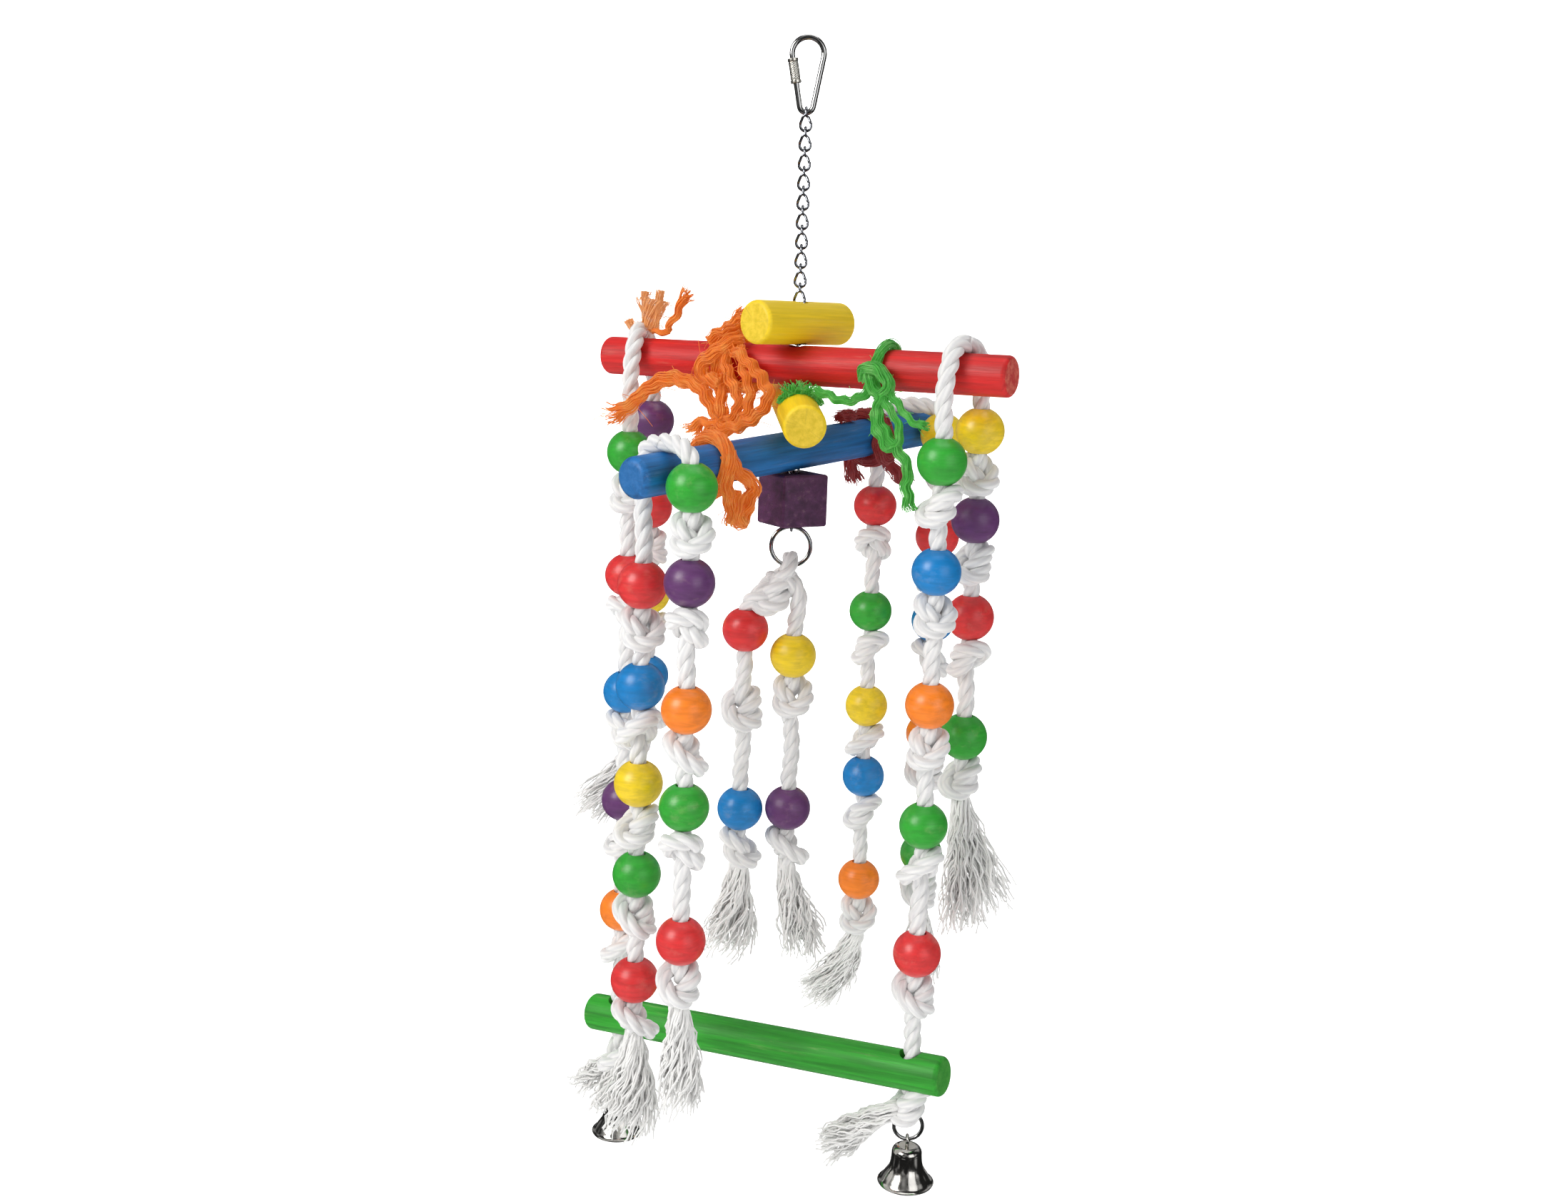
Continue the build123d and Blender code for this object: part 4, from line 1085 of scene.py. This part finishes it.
repaint(plated("chain_plate", (0.30, 0.31, 0.34), 0.16), "core_chain", *(f"chain_{k}" for k in range(1, 6)))
repaint(plated("bell_plate", (0.66, 0.64, 0.61), 0.11), "bell_left", "bell_right")


def knurled_sleeve():
    """The quick link's screw sleeve with a diamond knurl between two collars."""
    points = node_points("link_sleeve")
    centre = (points.min(0) + points.max(0)) / 2
    axis = long_axis("link_sleeve", (0, 0, -1))
    reach = (points - centre) @ axis
    half = (reach.max() - reach.min()) / 2
    one = np.cross(axis, (0, 1, 0))
    one /= np.linalg.norm(one)
    two = np.cross(axis, one)
    sides, rows = 96, 72
    collar_r, knurl_r, inner = 3.3 * MM, 3.12 * MM, 1.80 * MM
    collar, groove, groove_half = 2.0 * MM, 0.35 * MM, 0.2 * MM
    knurl_depth, knurl_pitch, knurl_count = 0.20 * MM, 0.42 * MM, 9

    def point(along, k, radius):
        angle = 2 * math.pi * k / sides
        return centre + axis * along + (one * math.cos(angle) + two * math.sin(angle)) * radius

    rings = []
    for row in range(rows + 1):
        t = row / rows
        along = (2 * t - 1) * half
        edge = abs(along) > half - collar
        ring = []
        for k in range(sides):
            angle = 2 * math.pi * k / sides
            cut = 0 if edge else knurl_depth * (1 - abs(math.sin(knurl_count * angle + along / knurl_pitch))
                                                * abs(math.sin(knurl_count * angle - along / knurl_pitch)))
            radius = (collar_r if edge else knurl_r) - cut
            radius -= groove if abs(abs(along) - (half - collar)) < groove_half else 0
            ring.append(point(along, k, radius))
        rings.append(ring)
    bore = [[point(along, k, inner) for k in range(sides)] for along in (half, -half)]
    verts = [v for ring in [*rings, *bore] for v in ring]
    total = len(rings) + 2
    faces = [((row % total) * sides + k, (row % total) * sides + (k + 1) % sides,
              ((row + 1) % total) * sides + (k + 1) % sides, ((row + 1) % total) * sides + k)
             for row in range(total) for k in range(sides)]
    piece = new_piece("sleeve_knurled", verts, faces, plated("sleeve_plate", (0.74, 0.72, 0.66), 0.22))
    settle(piece, "sleeve", "link_sleeve")


knurled_sleeve()


# ------------------------------------------------------------------ floor, backdrop, light and camera
def make_stage():
    low = cad_box[0][2]
    s = Shader("backdrop_paper")
    tone = s.noise(s.place(), 3.0, detail=2)
    paper = s.mix(s.grey(tone, (0.3, 0.0), (0.7, 1.0)), (0.90, 0.90, 0.90), (0.93, 0.93, 0.93))
    s.set(Base_Color=paper, Roughness=0.9, Specular_IOR_Level=0.1, Emission_Color=paper, Emission_Strength=0.42)
    verts, faces = [], []
    floor_z = low - 0.16
    near, bend_from, bend_r, top, half_width = -3.2, 1.6, 0.9, 3.4, 4.5
    section = [(near, 0.0)] + [(bend_from + bend_r * math.sin(a), bend_r - bend_r * math.cos(a))
                               for a in np.linspace(0, math.pi / 2, 18)] + [(bend_from + bend_r, top)]
    way, across = np.array([-0.5, 0.866]), np.array([0.866, 0.5])
    for out, rise in section:
        for side in (-half_width, half_width):
            spot = way * out + across * side
            verts.append((spot[0], spot[1], floor_z + rise))
    for k in range(len(section) - 1):
        faces.append((2 * k, 2 * k + 1, 2 * k + 3, 2 * k + 2))
    sweep = new_piece("backdrop", verts, faces, s.material)
    sweep.visible_glossy = False


def area_light(name, place, aim, size, power, colour=(1, 1, 1)):
    """A soft light; places in metres, power in watts."""
    data = bpy.data.lights.new(name, "AREA")
    data.shape, data.size, data.size_y, data.energy, data.color = "RECTANGLE", *size, power, colour
    lamp = bpy.data.objects.new(name, data)
    bpy.context.scene.collection.objects.link(lamp)
    lamp.location = place
    lamp.rotation_euler = (Vector(aim) - Vector(place)).to_track_quat("-Z", "Y").to_euler()
    return lamp


def make_world():
    """Even white studio air; metal sees darker cards between the bright ones."""
    world = bpy.data.worlds.new("studio")
    bpy.context.scene.world = world
    world.use_nodes = True
    tree = world.node_tree
    back = tree.nodes["Background"]
    back.inputs["Color"].default_value = (1, 1, 1, 1)
    back.inputs["Strength"].default_value = 0.30
    seen = tree.nodes.new("ShaderNodeBackground")
    seen.inputs["Strength"].default_value = 1.0
    where = tree.nodes.new("ShaderNodeTexCoord")
    bands = tree.nodes.new("ShaderNodeTexNoise")
    bands.inputs["Scale"].default_value = 1.9
    bands.inputs["Detail"].default_value = 1.0
    ramp = tree.nodes.new("ShaderNodeValToRGB")
    for stop, (position, level) in zip((*ramp.color_ramp.elements, ramp.color_ramp.elements.new(0.5)),
                                       ((0.48, 0.015), (0.66, 1.6), (0.57, 0.16))):
        stop.position, stop.color = position, (level, level, level, 1)
    path = tree.nodes.new("ShaderNodeLightPath")
    mix = tree.nodes.new("ShaderNodeMixShader")
    tree.links.new(where.outputs["Generated"], bands.inputs["Vector"])
    tree.links.new(bands.outputs["Fac"], ramp.inputs["Fac"])
    tree.links.new(ramp.outputs["Color"], seen.inputs["Color"])
    tree.links.new(path.outputs["Is Glossy Ray"], mix.inputs["Fac"])
    tree.links.new(back.outputs[0], mix.inputs[1])
    tree.links.new(seen.outputs[0], mix.inputs[2])
    tree.links.new(mix.outputs[0], tree.nodes["World Output"].inputs["Surface"])


def make_camera():
    azimuth, down, roll = math.radians(30), math.radians(10), math.radians(2)
    forward = Vector((-math.sin(azimuth) * math.cos(down), math.cos(azimuth) * math.cos(down), -math.sin(down)))
    right = forward.cross(Vector((0, 0, 1))).normalized()
    up = right.cross(forward)
    rolled_right = right * math.cos(roll) + up * math.sin(roll)
    rolled_up = up * math.cos(roll) - right * math.sin(roll)
    data = bpy.data.cameras.new("camera")
    data.lens, data.sensor_width, data.clip_start = 37.7, 36.0, 0.01
    camera = bpy.data.objects.new("camera", data)
    bpy.context.scene.collection.objects.link(camera)
    turn = Matrix((rolled_right, rolled_up, -forward)).transposed()
    camera.matrix_world = Matrix.Translation(Vector((0.520, -0.907, -0.1625))) @ turn.to_4x4()
    bpy.context.scene.camera = camera


make_stage()
make_world()
area_light("key", (-0.75, -1.7, 0.75), (0, 0, -0.35), (1.1, 1.1), 32, (1.0, 0.985, 0.96))
area_light("fill", (1.9, -0.9, 0.1), (0, 0, -0.40), (1.4, 1.6), 9)
area_light("top", (0.1, 0.1, 1.5), (0, 0, -0.35), (1.3, 1.3), 9)
area_light("back_wash", (-0.3, 0.9, 0.9), (-1.3, 2.4, 0.2), (2.0, 1.2), 60)
make_camera()
bpy.context.scene.view_settings.view_transform = "Standard"
